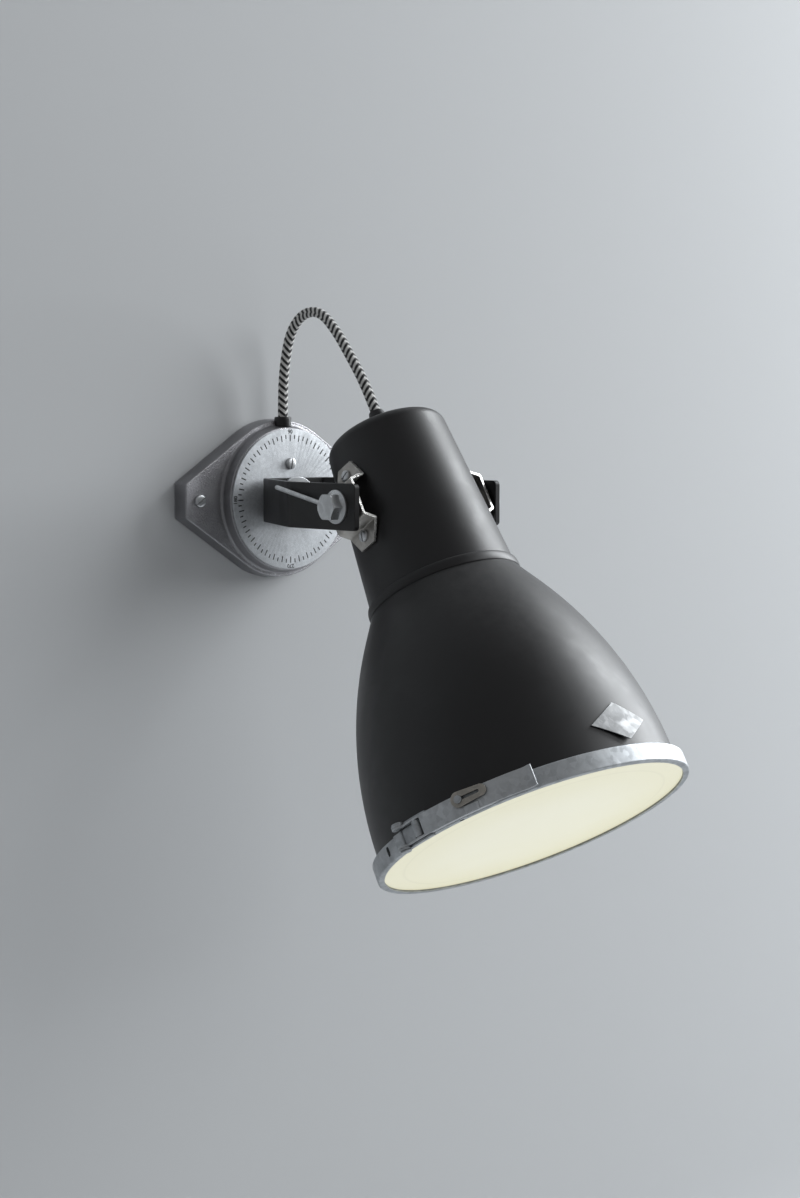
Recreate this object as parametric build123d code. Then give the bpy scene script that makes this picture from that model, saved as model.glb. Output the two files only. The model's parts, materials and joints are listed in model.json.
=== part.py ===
from build123d import *
import math
import os

# Pivoting spotlight wall light, in millimetres.
# The wall is the plane y = 0 and the lamp stands out toward -Y, with +Z up.
# The origin is on the wall, where the swivel axis meets it.
# The shade hangs from a tilt axis along X, and is tilted out from straight down.

os.makedirs("parts", exist_ok=True)

# ---- fits and clearances ----
RUN = 0.05            # radial clearance of a turning fit
FACE = 0.05           # gap between two faces that slide
SEAT = 0.02           # gap between faces that are clamped together
SHEET_GAP = 0.2       # gap beside a sheet that hangs in a groove
SWEEP = 0.2           # gap under a piece that sweeps over another

# ---- base casting: depth is measured out from the wall ----
DRUM_FACE_R = 50.0
DRUM_SPREAD = 1.3     # growth of the drum's radius down to its foot
DRUM_FOOT_R = DRUM_FACE_R + DRUM_SPREAD
DRUM_DEPTH = 21.0
DRUM_EDGE = 1.0
FOOT_FILLET = 2.4
FLANGE_LEDGE = 4.7    # from the drum's foot out to the flange's round middle
FLANGE_R = DRUM_FOOT_R + FLANGE_LEDGE
FLANGE_DEPTH = 12.5
FLANGE_DRAFT = 4.5    # degrees
FLANGE_EDGE = 1.2
WING_REACH = 26.4     # from the round middle out to a wing tip
TIP_X = FLANGE_R + WING_REACH
TIP_HALF = 12.2       # half-height of a wing tip
TIP_CORNER = 3.0
WING_HOLE_INSET = 12.4
WING_HOLE_X = TIP_X - WING_HOLE_INSET
WING_HOLE_R = 2.5
DRUM_WALL = 6.0
CAVITY_R = DRUM_FACE_R - DRUM_WALL
CAVITY_FILLET = 3.0
FACE_WALL = 4.0       # wall behind the dial

# ---- dial and its screw ----
DIAL_INSET = 0.9
DIAL_R = DRUM_FACE_R - DIAL_INSET
DIAL_THICK = 1.5
DIAL_EDGE = 0.3
DIAL_SCREW_Z = 24.9

# ---- machine screws with pan heads ----
PAN_R = 4.0
PAN_HEIGHT = 2.4
PAN_ROUND = 1.2       # rounding of the head's edge
M4_R = 2.0
M4_HOLE_R = 2.15
DIAL_SCREW_TAIL = 2.0     # past the wall behind the dial
BRACKET_SCREW_TAIL = 1.0  # past its nut

# ---- M10 fasteners ----
M10_R = 5.0
HEX_HEIGHT = 6.4
HEX_ACROSS = 17.0
HEX_CROWN = 1.0
TILT_HEX_ACROSS = 16.0
BOLT_FLANGE_R = 10.9
BOLT_FLANGE_RIM = 1.3
BOLT_FLANGE_RISE = 1.5
TILT_HEX_HEIGHT = 6.4

# ---- swivel stack, from the dial outward and from the casting inward ----
SPACER_R = 15.0
DISC_R = 15.75
DISC_THICK = 2.5
BACK_WASHER_R = 10.0
BACK_WASHER_THICK = 1.5
SPRING_RISE = 2.0
SPRING_THICK = 1.2
PIVOT_NUT_HEIGHT = 8.0
PIVOT_TAIL = 2.0

# ---- yoke: a bent flat bar ----
BAR_WIDTH = 30.0
BAR_THICK = 4.0
WEB_HALF = 25.0       # centre line, from the swivel axis to the web corner
TILT_Y = -154.0       # tilt axis
ARM_STRAIGHT = 51.0   # from the arm's kink out to the tilt axis
ARM_TAIL = 18.5       # from the tilt axis out to the arm's end
WEB_BEND = 5.0
ARM_BEND = 16.0
ARM_CORNER = 3.0

# ---- tilt joint: friction washer, bracket web, nut, and the tommy bar ----
FRICTION_R = 10.0
FRICTION_THICK = 2.0
TILT_NUT_HEIGHT = 4.0
TILT_TAIL = 2.0
BAR_R = 1.5
BAR_REACH = 60.2
BAR_STUB = 5.0
BAR_ANGLE = 10.9      # degrees above level
BAR_FROM_FLANGE = 4.4

# ---- shade: stations are measured down the shade axis from the tilt axis ----
TILT = 31.1           # degrees out from straight down
SHELL = 1.2           # wall of the spun shells
NECK_R = 44.5         # neck radius at the tilt axis
NECK_SLOPE = 0.08     # growth of that radius per station
NECK_TOP = -52.5      # shoulder of the cap
CAP_RISE = 2.0
CAP_APEX = NECK_TOP - CAP_RISE
CAP_FILLET = 7.0
NECK_END = 66.0
COLLAR_LAP = 4.5      # overlap of the bell's collar and the neck
COLLAR_START = NECK_END - COLLAR_LAP
FLARE_LEAD = 2.434    # from the neck's end down to the flare
FLARE_START = NECK_END + FLARE_LEAD
FLARE_RUN = 18.482    # straight part of the flare
BELL_R = 98.04
RIM_FACE = 222.8
RIM_STRAIGHT = 4.5
BELL_STRAIGHT = RIM_FACE - RIM_STRAIGHT
RIM_LIP = 3.16        # how far the rim turns out
RIM_R = BELL_R + RIM_LIP

# ---- clamp ring, gasket and lens ----
GASKET_THICK = 2.2
GASKET_WIDTH = 9.0
GASKET_INSET = 0.2    # from the rim's edge in to the gasket
GASKET_R = RIM_R - GASKET_INSET
GASKET_BORE = GASKET_R - GASKET_WIDTH
LENS_FROM = RIM_FACE + GASKET_THICK
LENS_EDGE = 5.7       # height of the lens's square rim
LENS_INSET = 0.4      # from the rim's edge in to the lens
LENS_R = RIM_R - LENS_INSET
LENS_RISE = 3.4
LENS_THICK = 4.0
RING_WALL = 1.2
RING_BEND = 1.0
RING_EASE = 0.6       # gap inside the band, round the bell's rim
RING_TOP_EASE = 0.2   # gap under the band's upper lip
RING_R = RIM_R + RING_EASE + RING_WALL
RING_TOP = RIM_FACE - SHELL - RING_TOP_EASE - RING_WALL
RING_LOW = LENS_FROM + LENS_EDGE + RING_WALL
RING_LIP_EASE = 1.26  # gap between the bell and the band's upper lip
RING_TOP_LIP_R = BELL_R + RING_LIP_EASE
RING_LIP = 4.2        # width of the band's lower lip
RING_LOW_LIP_R = RING_R - RING_LIP
LENS_DOME_EASE = 0.6  # gap between the lens's dome and the lower lip
LENS_DOME_R = RING_LOW_LIP_R - LENS_DOME_EASE

# ---- hat brackets ----
HAT_RISE = 11.5       # from the neck out to a bracket's web face, at the tilt axis
STRIP = 2.0
STRIP_WIDTH = 30.0
STRIP_BEND = 1.5
WEB_HALF_LENGTH = 12.5
FOLD = 16.0
TAB_END = 29.5
TAB_TIP_HALF = 7.0
TAB_CORNER = 0.8
TAB_SCREW = 21.75
TAB_NUT_ACROSS = 7.0
TAB_NUT_HEIGHT = 3.2
TAB_NUT_GAP = 0.3     # a flat nut on the round inside of the neck

# ---- cord and glands ----
CORD_R = 3.5
CORD_LEAD = 21.5      # straight run out of the shade gland
GLAND_R = 6.0
GLAND_STEM_R = 4.8
GLAND_BORE_R = 3.1
BASE_GLAND_INSET = 7.0  # from the drum's face back to the gland's axis
BASE_GLAND_DEPTH = DRUM_DEPTH - BASE_GLAND_INSET
BASE_GLAND_HEIGHT = 7.0
BASE_GLAND_LIFT = 0.5   # of the collar's seat over the drum's face radius
BASE_GLAND_SEAT = DRUM_FACE_R + BASE_GLAND_LIFT
BASE_GLAND_TOP = BASE_GLAND_SEAT + BASE_GLAND_HEIGHT
BASE_GLAND_END = 0.6    # of the stem's foot over the hollow's radius
BASE_GLAND_FOOT = CAVITY_R + BASE_GLAND_END
SEAT_MARGIN = 0.3
SHADE_GLAND_HEIGHT = 16.1
SHADE_GLAND_TAPER = 4.6
SHADE_GLAND_TOP = CAP_APEX - SHADE_GLAND_HEIGHT
SHADE_GLAND_STEP = SHADE_GLAND_TOP + SHADE_GLAND_TAPER
SHADE_GLAND_TIP_R = 4.9
GLAND_EDGE = 0.8

# ---- lamp holder and bulb ----
NIPPLE_R = 5.0
NIPPLE_BORE_R = 3.6
NIPPLE_OUT = 3.5      # above the cap
NIPPLE_IN = 11.5      # below the cap's top
NIPPLE_TOP = CAP_APEX - NIPPLE_OUT
NIPPLE_END = CAP_APEX + NIPPLE_IN
NIPPLE_NUT_ACROSS = 14.0
NIPPLE_NUT_HEIGHT = 3.0
HOLDER_R = 20.0
HOLDER_NECK_R = 9.0
HOLDER_DROP = 4.5     # from the cap's top down to the holder
HOLDER_TOP = CAP_APEX + HOLDER_DROP
HOLDER_DOME = 14.0
HOLDER_BODY = 44.0
HOLDER_SHOULDER = HOLDER_TOP + HOLDER_DOME
HOLDER_END = HOLDER_SHOULDER + HOLDER_BODY
HOLDER_WALL = 4.5
HOLDER_BLOCK = 12.0   # solid part over the holder's floor
HOLDER_FLOOR = HOLDER_SHOULDER + HOLDER_BLOCK
LAMP_CAP_R = 13.2
LAMP_CAP_LENGTH = 29.0
LAMP_CAP_TIP = 3.0    # height of the cap's tapered end
LAMP_CAP_EASE = 2.0   # gap between the cap and the holder's floor
LAMP_CAP_TOP = HOLDER_FLOOR + LAMP_CAP_EASE
LAMP_CAP_END = LAMP_CAP_TOP + LAMP_CAP_LENGTH
BULB_R = 30.0
BULB_LENGTH = 108.0
BULB_END = LAMP_CAP_END + BULB_LENGTH
BULB_SWELL_AT = 0.45  # share of the bulb's neck at which its swell is set
BULB_SWELL_R = 0.66 * BULB_R

# ---- parts inside the base ----
BLOCK_SIZE = (26.0, 12.0, 10.0)
BLOCK_EDGE = 1.0
BLOCK_INSET = 17.0    # from the hollow's side to the block's middle
BLOCK_Z = BLOCK_INSET - CAVITY_R
BLOCK_HOLE_R = 1.6
BLOCK_PITCH = 8.0
EARTH_INSET = 17.0
EARTH_X = CAVITY_R - EARTH_INSET
EARTH_Z = 14.0

# ---- over-centre latch: angles in degrees round the ring, from +X toward the wall's far side ----
PIVOT_ANGLE = 178.0
PIVOT_OUT = 4.5       # from the band out to the lever's pivot
PIVOT_R = RING_R + PIVOT_OUT
PIN_ANGLE = 170.5
PIN_OUT = 3.2         # from the band out to the link's pin
PIN_AT_R = RING_R + PIN_OUT
PIN_R = 1.5
PIN_HEAD_R = 2.3
PIN_HEAD = 0.5
RIVET_R = 2.0
RIVET_HEAD_R = 3.4
RIVET_HEAD = 1.2
LUG_PLATE = 1.2
LUG_START = 153.0
CHEEK_START = 166.0
CHEEK_OUT = 3.4       # from the band out to the cheeks' edge
CHEEK_R = RING_R + CHEEK_OUT
SADDLE_END = 168.0
LUG_EAR_R = 4.0
LIP_HOLE_ANGLE = 155.4
LIP_HOLE_AT_R = RING_R - RING_LIP / 2
LIP_HOLE_R = 1.3
GAP_START = 172.5
GAP_END = 180.5
LEVER_OUT = 5.2       # from the band out to the lever's back
LEVER_R = RING_R + LEVER_OUT
LEVER_WIDTH = 13.0
LEVER_PLATE = 1.2
LEVER_SIDE = 1.1
LEVER_WEB_END = 168.0
LEVER_TIP = 130.2
LEVER_LIP = 128.2
LEVER_LIP_RISE = 2.6
LEVER_LIP_R = LEVER_R + LEVER_LIP_RISE
LEVER_LIP_ROOT = 0.4  # degrees of the web taken by the lip's root
SIDE_START = 144.0
SIDE_NOSE = 3.5       # degrees over which a side rises to full depth
SIDE_ABOVE_LUG = 0.4
LEVER_EAR_R = 4.0
LINK_GAP = 0.4        # gap between the band and the link
LINK_IN_R = RING_R + LINK_GAP
LINK_PLATE = 1.5
LINK_WIDTH = 9.6
LINK_EYE_R = 2.9
LINK_RIB_ANGLE = 179.0
LINK_RIB_R = 1.2
TONGUE_WIDTH = 5.0
TONGUE_REACH = 0.5    # of the tongue past the band's inner face
TONGUE_R = RING_R - RING_WALL - TONGUE_REACH
TONGUE_HALF_ANGLE = 0.4
HOOK_ANGLE = 183.3
SPARE_HOLE_ANGLE = 191.0
HOOK_HOLE = (3.4, 6.4)
CATCH_ANGLE = 152.4
CATCH_END_ANGLE = 144.8
CATCH_LIFT = 0.8
CATCH_PLATE = 1.0
CATCH_ROOT_R = 3.5
CATCH_END_R = 4.7
CATCH_ABOVE = 3.22    # from the lever's middle up to the catch
CATCH_RIVET_R = 1.5
CATCH_HEAD_R = 2.4
CATCH_HEAD = 0.8
CATCH_SLOT = (13.0, 2.0)

# ---- places worked out from the sizes above ----
WALL = Plane.XZ
TILT_RAD = math.radians(TILT)
HEAD = Plane(
    origin=(0, TILT_Y, 0),
    x_dir=(1, 0, 0),
    z_dir=(0, -math.sin(TILT_RAD), -math.cos(TILT_RAD)),
)
DIAL_FRONT = DRUM_DEPTH + DIAL_THICK
SPACER_THICK = PAN_HEIGHT + SWEEP    # lifts the yoke over the dial screw
YOKE_BACK = DIAL_FRONT + SPACER_THICK + FACE
YOKE_FRONT = YOKE_BACK + BAR_THICK
DISC_BACK = YOKE_FRONT + FACE
CAVITY_DEPTH = DRUM_DEPTH - FACE_WALL
HAT_FACE = NECK_R + HAT_RISE
ARM_IN = HAT_FACE + FRICTION_THICK
ARM_X = ARM_IN + BAR_THICK / 2
ARM_OUT = ARM_IN + BAR_THICK
ARM_KINK_Y = TILT_Y + ARM_STRAIGHT
ARM_END_Y = TILT_Y - ARM_TAIL
LUG_TOP_R = RING_R + SEAT + LUG_PLATE
LEVER_INNER_R = LUG_TOP_R + SIDE_ABOVE_LUG
LEVER_HALF = LEVER_WIDTH / 2
LUG_IN_HALF = LEVER_HALF + SHEET_GAP
LUG_HALF = LUG_IN_HALF + LUG_PLATE
LATCH_MID = RING_LOW + SEAT - LUG_IN_HALF
CATCH_STATION = LATCH_MID - CATCH_ABOVE

# The flare is straight from the collar, then an arc that ends along the shade's axis.
COLLAR_R = NECK_R + NECK_SLOPE * FLARE_START + SEAT + SHELL
FLARE_GROWTH = BELL_R - COLLAR_R
FLARE_DROP = BELL_STRAIGHT - FLARE_START
FLARE_ARC = (FLARE_GROWTH ** 2 + FLARE_DROP ** 2 - FLARE_RUN ** 2) / (2 * FLARE_GROWTH)
FLARE_RAD = math.atan2(FLARE_DROP, FLARE_ARC - FLARE_GROWTH) - math.atan(FLARE_RUN / FLARE_ARC)

# The cord's route, as (y, z) in the plane x = 0, from the base gland to the shade gland.
SHADE_EXIT = HEAD.from_local_coords((0, 0, SHADE_GLAND_TOP))
SHADE_LEAD = HEAD.from_local_coords((0, 0, SHADE_GLAND_TOP - CORD_LEAD))
CORD_ROUTE = [
    (-BASE_GLAND_DEPTH, BASE_GLAND_TOP),
    (-BASE_GLAND_DEPTH, 77.0),
    (-17.2, 98.0),
    (-23.6, 117.2),
    (-38.4, 129.2),
    (-57.4, 129.4),
    (-74.6, 116.0),
    (-90.4, 98.0),
    (SHADE_LEAD.Y, SHADE_LEAD.Z),
    (SHADE_EXIT.Y, SHADE_EXIT.Z),
]
CORD_BEND_SHARE = 0.45


def save(shape, name):
    """Write one sub-part under its own name."""
    export_step(shape, f"parts/{name}.step")


def ring(outer, inner, low, high):
    """Flat ring about the local Z axis between two heights."""
    return Pos(0, 0, low) * extrude(Circle(outer) - Circle(inner), high - low)


def rod(radius, low, high):
    """Round bar about the local Z axis between two heights."""
    return Pos(0, 0, low) * extrude(Circle(radius), high - low)


def hexagon(across, low, high, bore=0.0):
    """Hexagon about the local Z axis with a crowned top, bored where it is a nut."""
    prism = Pos(0, 0, low) * extrude(RegularPolygon(across / 2, 6, major_radius=False), high - low)
    crown = rod(across / math.sqrt(3), low, high)
    crown = chamfer(crown.edges().group_by(Axis.Z)[-1], HEX_CROWN)
    body = prism & crown
    return body - rod(bore, low, high) if bore else body


def lathe(outline):
    """Turn a closed outline of (radius, station) about the local Z axis."""
    return revolve(Plane.XZ * make_face(outline), Axis.Z)


def pan_screw(grip, head_from=0.0):
    """Pan-head screw along local Z, its head above head_from and its shank below."""
    head = rod(PAN_R, head_from, head_from + PAN_HEIGHT)
    head = fillet(head.edges().group_by(Axis.Z)[-1], PAN_ROUND)
    return head + rod(M4_R, head_from - grip, head_from)


def polar(radius, angle):
    """Point of the latch plane at a radius and an angle round the ring."""
    turn = math.radians(angle)
    return (radius * math.cos(turn), radius * math.sin(turn))


def sector(inner, outer, start, end, low, high):
    """Curved plate round the shade axis, between two angles and two stations."""
    edges = [
        CenterArc((0, 0), inner, start, end - start),
        Line(polar(inner, end), polar(outer, end)),
        CenterArc((0, 0), outer, start, end - start),
        Line(polar(outer, start), polar(inner, start)),
    ]
    return Pos(0, 0, low) * extrude(make_face(edges), high - low)


def cross_pin(radius, at_radius, angle, low, high):
    """Round bar along the shade axis at a place on the latch."""
    return Pos(*polar(at_radius, angle), 0) * rod(radius, low, high)


def outward(angle, radius, station):
    """Plane on the ring that faces outward, with its X along the shade axis."""
    x, y = polar(radius, angle)
    return Plane(origin=(x, y, station), x_dir=(0, 0, 1), z_dir=(x, y, 0))


def neck_radius(station):
    """Outer radius of the neck at a station."""
    return NECK_R + NECK_SLOPE * station


def dome(radius, rim, apex):
    """Arc of (radius, station) from a rim to the apex that it reaches square to the axis."""
    rise = apex - rim
    sphere = (radius ** 2 + rise ** 2) / (2 * rise)
    half = math.asin(radius / sphere) / 2
    middle = (sphere * math.sin(half), apex - sphere + sphere * math.cos(half))
    return ThreePointArc((radius, rim), middle, (0, apex))


# ---- base ----

def base_casting():
    """Winged flange with a round drum, hollow at the back, drilled for all that it carries."""
    reach = math.hypot(TIP_X, TIP_HALF)
    touch = math.atan2(TIP_HALF, TIP_X) + math.acos(FLANGE_R / reach)
    touch_x, touch_z = FLANGE_R * math.cos(touch), FLANGE_R * math.sin(touch)
    outline = []
    for end in (-1, 1):
        left, right = (-touch_x, end * touch_z), (touch_x, end * touch_z)
        outline.append(ThreePointArc(left, (0, end * FLANGE_R), right))
        outline.append(Line((end * TIP_X, -TIP_HALF), (end * TIP_X, TIP_HALF)))
        for side in (-1, 1):
            outline.append(Line((side * touch_x, end * touch_z), (side * TIP_X, end * TIP_HALF)))
    flange = make_face(outline)
    tips = flange.vertices().filter_by(lambda corner: abs(corner.X) > WING_HOLE_X)
    flange = extrude(fillet(tips, TIP_CORNER), FLANGE_DEPTH, taper=FLANGE_DRAFT)
    flange = fillet(flange.edges().group_by(Axis.Z)[-1], FLANGE_EDGE)

    foot_r = DRUM_FOOT_R + FOOT_FILLET
    root = FLANGE_DEPTH - FLANGE_EDGE
    outline = [
        Line((0, root), (foot_r, root)),
        Line((foot_r, root), (foot_r, FLANGE_DEPTH)),
        RadiusArc((foot_r, FLANGE_DEPTH), (DRUM_FOOT_R, FLANGE_DEPTH + FOOT_FILLET), FOOT_FILLET),
        Line((DRUM_FOOT_R, FLANGE_DEPTH + FOOT_FILLET), (DRUM_FACE_R, DRUM_DEPTH)),
        Line((DRUM_FACE_R, DRUM_DEPTH), (0, DRUM_DEPTH)),
        Line((0, DRUM_DEPTH), (0, root)),
    ]
    drum = lathe(outline)
    drum = fillet(drum.edges().group_by(Axis.Z)[-1], DRUM_EDGE)

    cavity = rod(CAVITY_R, 0, CAVITY_DEPTH)
    cavity = fillet(cavity.edges().group_by(Axis.Z)[-1], CAVITY_FILLET)
    casting = flange + drum - cavity
    casting -= rod(M10_R + RUN, 0, DRUM_DEPTH)
    for side in (-1, 1):
        casting -= Pos(side * WING_HOLE_X, 0, 0) * rod(WING_HOLE_R, 0, DRUM_DEPTH)
    casting -= Pos(0, DIAL_SCREW_Z, 0) * rod(M4_R + SEAT, 0, DRUM_DEPTH)
    casting -= Pos(EARTH_X, EARTH_Z, 0) * rod(M4_R + SEAT, 0, DRUM_DEPTH - FACE_WALL / 2)
    casting = WALL.location * casting

    spot_face = rod(GLAND_R + SEAT_MARGIN, BASE_GLAND_SEAT, FLANGE_R + TIP_CORNER)
    bore = rod(GLAND_STEM_R + SEAT, CAVITY_R - CAVITY_FILLET, BASE_GLAND_SEAT)
    return casting - Pos(0, -BASE_GLAND_DEPTH, 0) * (spot_face + bore)


def dial_plate():
    """Round scale plate on the drum's face."""
    plate = ring(DIAL_R, M10_R + RUN, DRUM_DEPTH, DIAL_FRONT)
    rim = plate.edges().group_by(Axis.Z)[-1].sort_by(SortBy.LENGTH)[-1]
    plate = chamfer(rim, DIAL_EDGE)
    return WALL.location * (plate - Pos(0, DIAL_SCREW_Z, 0) * rod(M4_HOLE_R, DRUM_DEPTH, DIAL_FRONT))


def dial_screw():
    """Pan-head screw that holds the dial."""
    grip = DIAL_THICK + FACE_WALL + DIAL_SCREW_TAIL
    return WALL.location * Pos(0, DIAL_SCREW_Z, DIAL_FRONT) * pan_screw(grip)


def base_gland():
    """Black bush in the top of the drum, bored for the cord's core."""
    collar = rod(GLAND_R, BASE_GLAND_SEAT, BASE_GLAND_TOP)
    collar = fillet(collar.edges().group_by(Axis.Z)[-1], GLAND_EDGE)
    gland = collar + rod(GLAND_STEM_R, BASE_GLAND_FOOT, BASE_GLAND_SEAT)
    gland -= rod(GLAND_BORE_R, BASE_GLAND_FOOT, BASE_GLAND_TOP)
    return Pos(0, -BASE_GLAND_DEPTH, 0) * gland


def swivel_stack():
    """Bolt, clamp disc, spacer, washers and nut on the swivel axis, by name."""
    nut_back = CAVITY_DEPTH - BACK_WASHER_THICK - SPRING_RISE - PIVOT_NUT_HEIGHT
    head_back = DISC_BACK + DISC_THICK
    bolt = hexagon(HEX_ACROSS, head_back, head_back + HEX_HEIGHT)
    bolt += rod(M10_R, nut_back - PIVOT_TAIL, head_back)
    bore = M10_R + RUN
    washer_back = CAVITY_DEPTH - BACK_WASHER_THICK
    spring = [
        (bore, washer_back),
        (BACK_WASHER_R, washer_back - SPRING_RISE + SPRING_THICK),
        (BACK_WASHER_R, washer_back - SPRING_RISE),
        (bore, washer_back - SPRING_THICK),
    ]
    nut = Rot(180, 0, 0) * hexagon(HEX_ACROSS, -nut_back - PIVOT_NUT_HEIGHT, -nut_back, bore)
    stack = {
        "pivot_bolt": bolt,
        "pivot_disc": ring(DISC_R, bore, DISC_BACK, head_back),
        "pivot_spacer": ring(SPACER_R, bore, DIAL_FRONT, DIAL_FRONT + SPACER_THICK),
        "pivot_washer": ring(BACK_WASHER_R, bore, washer_back, CAVITY_DEPTH),
        "pivot_spring": lathe(Polyline(*spring, close=True)),
        "pivot_nut": nut,
    }
    return {name: WALL.location * piece for name, piece in stack.items()}


def terminal_block():
    """Three-way terminal block against the inside of the drum's face."""
    length, height, depth = BLOCK_SIZE
    block = Box(length, height, depth)
    block = fillet(block.edges().filter_by(Axis.Z), BLOCK_EDGE)
    for place in (-BLOCK_PITCH, 0, BLOCK_PITCH):
        block -= Pos(place, 0, 0) * Rot(90, 0, 0) * Cylinder(BLOCK_HOLE_R, height)
    return WALL.location * Pos(0, BLOCK_Z, CAVITY_DEPTH - depth / 2) * block


def earth_screw():
    """Earth screw inside the drum, its head toward the wall."""
    grip = FACE_WALL / 2
    screw = Rot(180, 0, 0) * pan_screw(grip)
    return WALL.location * Pos(EARTH_X, EARTH_Z, CAVITY_DEPTH) * screw


# ---- yoke and tilt joint ----

def yoke():
    """Flat bar bent to a web and two arms, bored for the swivel and tilt bolts."""
    web_y = -(YOKE_BACK + BAR_THICK / 2)
    line = FilletPolyline(
        (-ARM_X, ARM_END_Y),
        (-ARM_X, ARM_KINK_Y),
        (-WEB_HALF, web_y),
        (WEB_HALF, web_y),
        (ARM_X, ARM_KINK_Y),
        (ARM_X, ARM_END_Y),
        radius=[ARM_BEND, WEB_BEND, WEB_BEND, ARM_BEND],
    )
    bar = extrude(trace(line, BAR_THICK), BAR_WIDTH / 2, both=True)
    ends = bar.edges().filter_by(Axis.X).group_by(Axis.Y)[0]
    bar = fillet(ends, ARM_CORNER)
    bar -= WALL.location * rod(M10_R + RUN, 0, YOKE_FRONT + BAR_THICK)
    bore = Pos(0, TILT_Y, 0) * Rot(0, 90, 0) * Cylinder(M10_R + RUN, 2 * ARM_OUT + 2)
    return bar - bore


def tilt_side(side):
    """Frame on the tilt axis whose Z runs out to one side."""
    return Plane(origin=(0, TILT_Y, 0), x_dir=(0, side, 0), z_dir=(side, 0, 0)).location


def tilt_bolt():
    """Flanged hexagon bolt from the bracket's nut out past the arm."""
    seat = ARM_OUT + SEAT
    web_inside = HAT_FACE - STRIP
    cone_from = seat + BOLT_FLANGE_RIM
    hex_from = cone_from + BOLT_FLANGE_RISE
    cone = loft([
        Pos(0, 0, cone_from) * Circle(BOLT_FLANGE_R),
        Pos(0, 0, hex_from) * Circle(TILT_HEX_ACROSS / 2),
    ])
    bolt = rod(BOLT_FLANGE_R, seat, cone_from) + cone
    bolt += hexagon(TILT_HEX_ACROSS, cone_from, hex_from + TILT_HEX_HEIGHT)
    return bolt + rod(M10_R, web_inside - TILT_NUT_HEIGHT - TILT_TAIL, seat)


def tommy_bar():
    """Round-ended bar through the clamp bolt's head, in the clamp bolt's frame."""
    bar = rod(BAR_R, -BAR_STUB, BAR_REACH - BAR_R) + Pos(0, 0, BAR_REACH - BAR_R) * Sphere(BAR_R)
    return Pos(-ARM_OUT - BAR_FROM_FLANGE, TILT_Y, 0) * Rot(BAR_ANGLE - 90, 0, 0) * bar


def tommy_bore():
    """Cross hole for the tommy bar."""
    bore = rod(BAR_R + SEAT, -BAR_STUB, BAR_REACH)
    return Pos(-ARM_OUT - BAR_FROM_FLANGE, TILT_Y, 0) * Rot(BAR_ANGLE - 90, 0, 0) * bore


def both_sides(piece):
    """One piece of the tilt joint on each side, as separate solids."""
    return Compound(children=[tilt_side(side) * piece for side in (-1, 1)])


def friction_washers():
    """Washers between the arms and the brackets."""
    return both_sides(ring(FRICTION_R, M10_R + RUN, HAT_FACE + FACE, ARM_IN))


def tilt_nuts():
    """Thin nuts held inside the brackets."""
    inside = HAT_FACE - STRIP
    return both_sides(hexagon(TILT_HEX_ACROSS, inside - TILT_NUT_HEIGHT, inside, M10_R + RUN))


def tab_frame(side, station):
    """Frame on the neck under a bracket tab, its Z square to the neck."""
    lean = math.atan(NECK_SLOPE)
    return Plane(
        origin=(side * neck_radius(station), 0, station),
        x_dir=(0, 1, 0),
        z_dir=(side * math.cos(lean), 0, -math.sin(lean)),
    ).location


def hat_bracket(side):
    """Strip bent to a hat: a web on the tilt bolt and two tapered tabs along the neck."""
    half = STRIP / 2
    web = HAT_FACE - half
    stations = (-TAB_END, -FOLD, FOLD, TAB_END)
    tab = [(neck_radius(station) + SEAT + half, station) for station in stations]
    line = FilletPolyline(
        tab[0], tab[1], (web, -WEB_HALF_LENGTH), (web, WEB_HALF_LENGTH), tab[2], tab[3],
        radius=STRIP_BEND,
    )
    strip = Plane.XZ * trace(line, STRIP)
    strip = extrude(strip, STRIP_WIDTH / 2, both=True)
    plan = make_face(Polyline(
        (-TAB_TIP_HALF, -TAB_END), (TAB_TIP_HALF, -TAB_END), (STRIP_WIDTH / 2, -FOLD),
        (STRIP_WIDTH / 2, FOLD), (TAB_TIP_HALF, TAB_END), (-TAB_TIP_HALF, TAB_END),
        (-STRIP_WIDTH / 2, FOLD), (-STRIP_WIDTH / 2, -FOLD), close=True,
    ))
    tips = plan.vertices().filter_by(lambda corner: abs(corner.Y) > FOLD + 1)
    plan = fillet(tips, TAB_CORNER)
    strip &= extrude(Plane.YZ * plan, HAT_FACE + STRIP)
    strip -= Rot(0, 90, 0) * Cylinder(M10_R + RUN, 4 * HAT_FACE)
    if side < 0:
        strip = Rot(0, 0, 180) * strip
    for station in (-TAB_SCREW, TAB_SCREW):
        strip -= tab_frame(side, station) * rod(M4_HOLE_R, 0, 2 * STRIP)
    return HEAD.location * strip


def on_tabs(piece):
    """One piece at each bracket screw, as separate solids."""
    places = [(side, station) for side in (-1, 1) for station in (-TAB_SCREW, TAB_SCREW)]
    solids = [HEAD.location * tab_frame(side, station) * piece for side, station in places]
    return Compound(children=solids)


def bracket_screws():
    """Pan-head screws through the tabs and the neck."""
    head_from = STRIP + 2 * SEAT
    grip = head_from + SHELL + TAB_NUT_GAP + TAB_NUT_HEIGHT + BRACKET_SCREW_TAIL
    return on_tabs(pan_screw(grip, head_from))


def bracket_nuts():
    """Nuts inside the neck."""
    top = -(SHELL + TAB_NUT_GAP)
    nut = Rot(180, 0, 0) * hexagon(TAB_NUT_ACROSS, -top, TAB_NUT_HEIGHT - top, M4_R + SEAT)
    return on_tabs(nut)


# ---- shade ----

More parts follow.
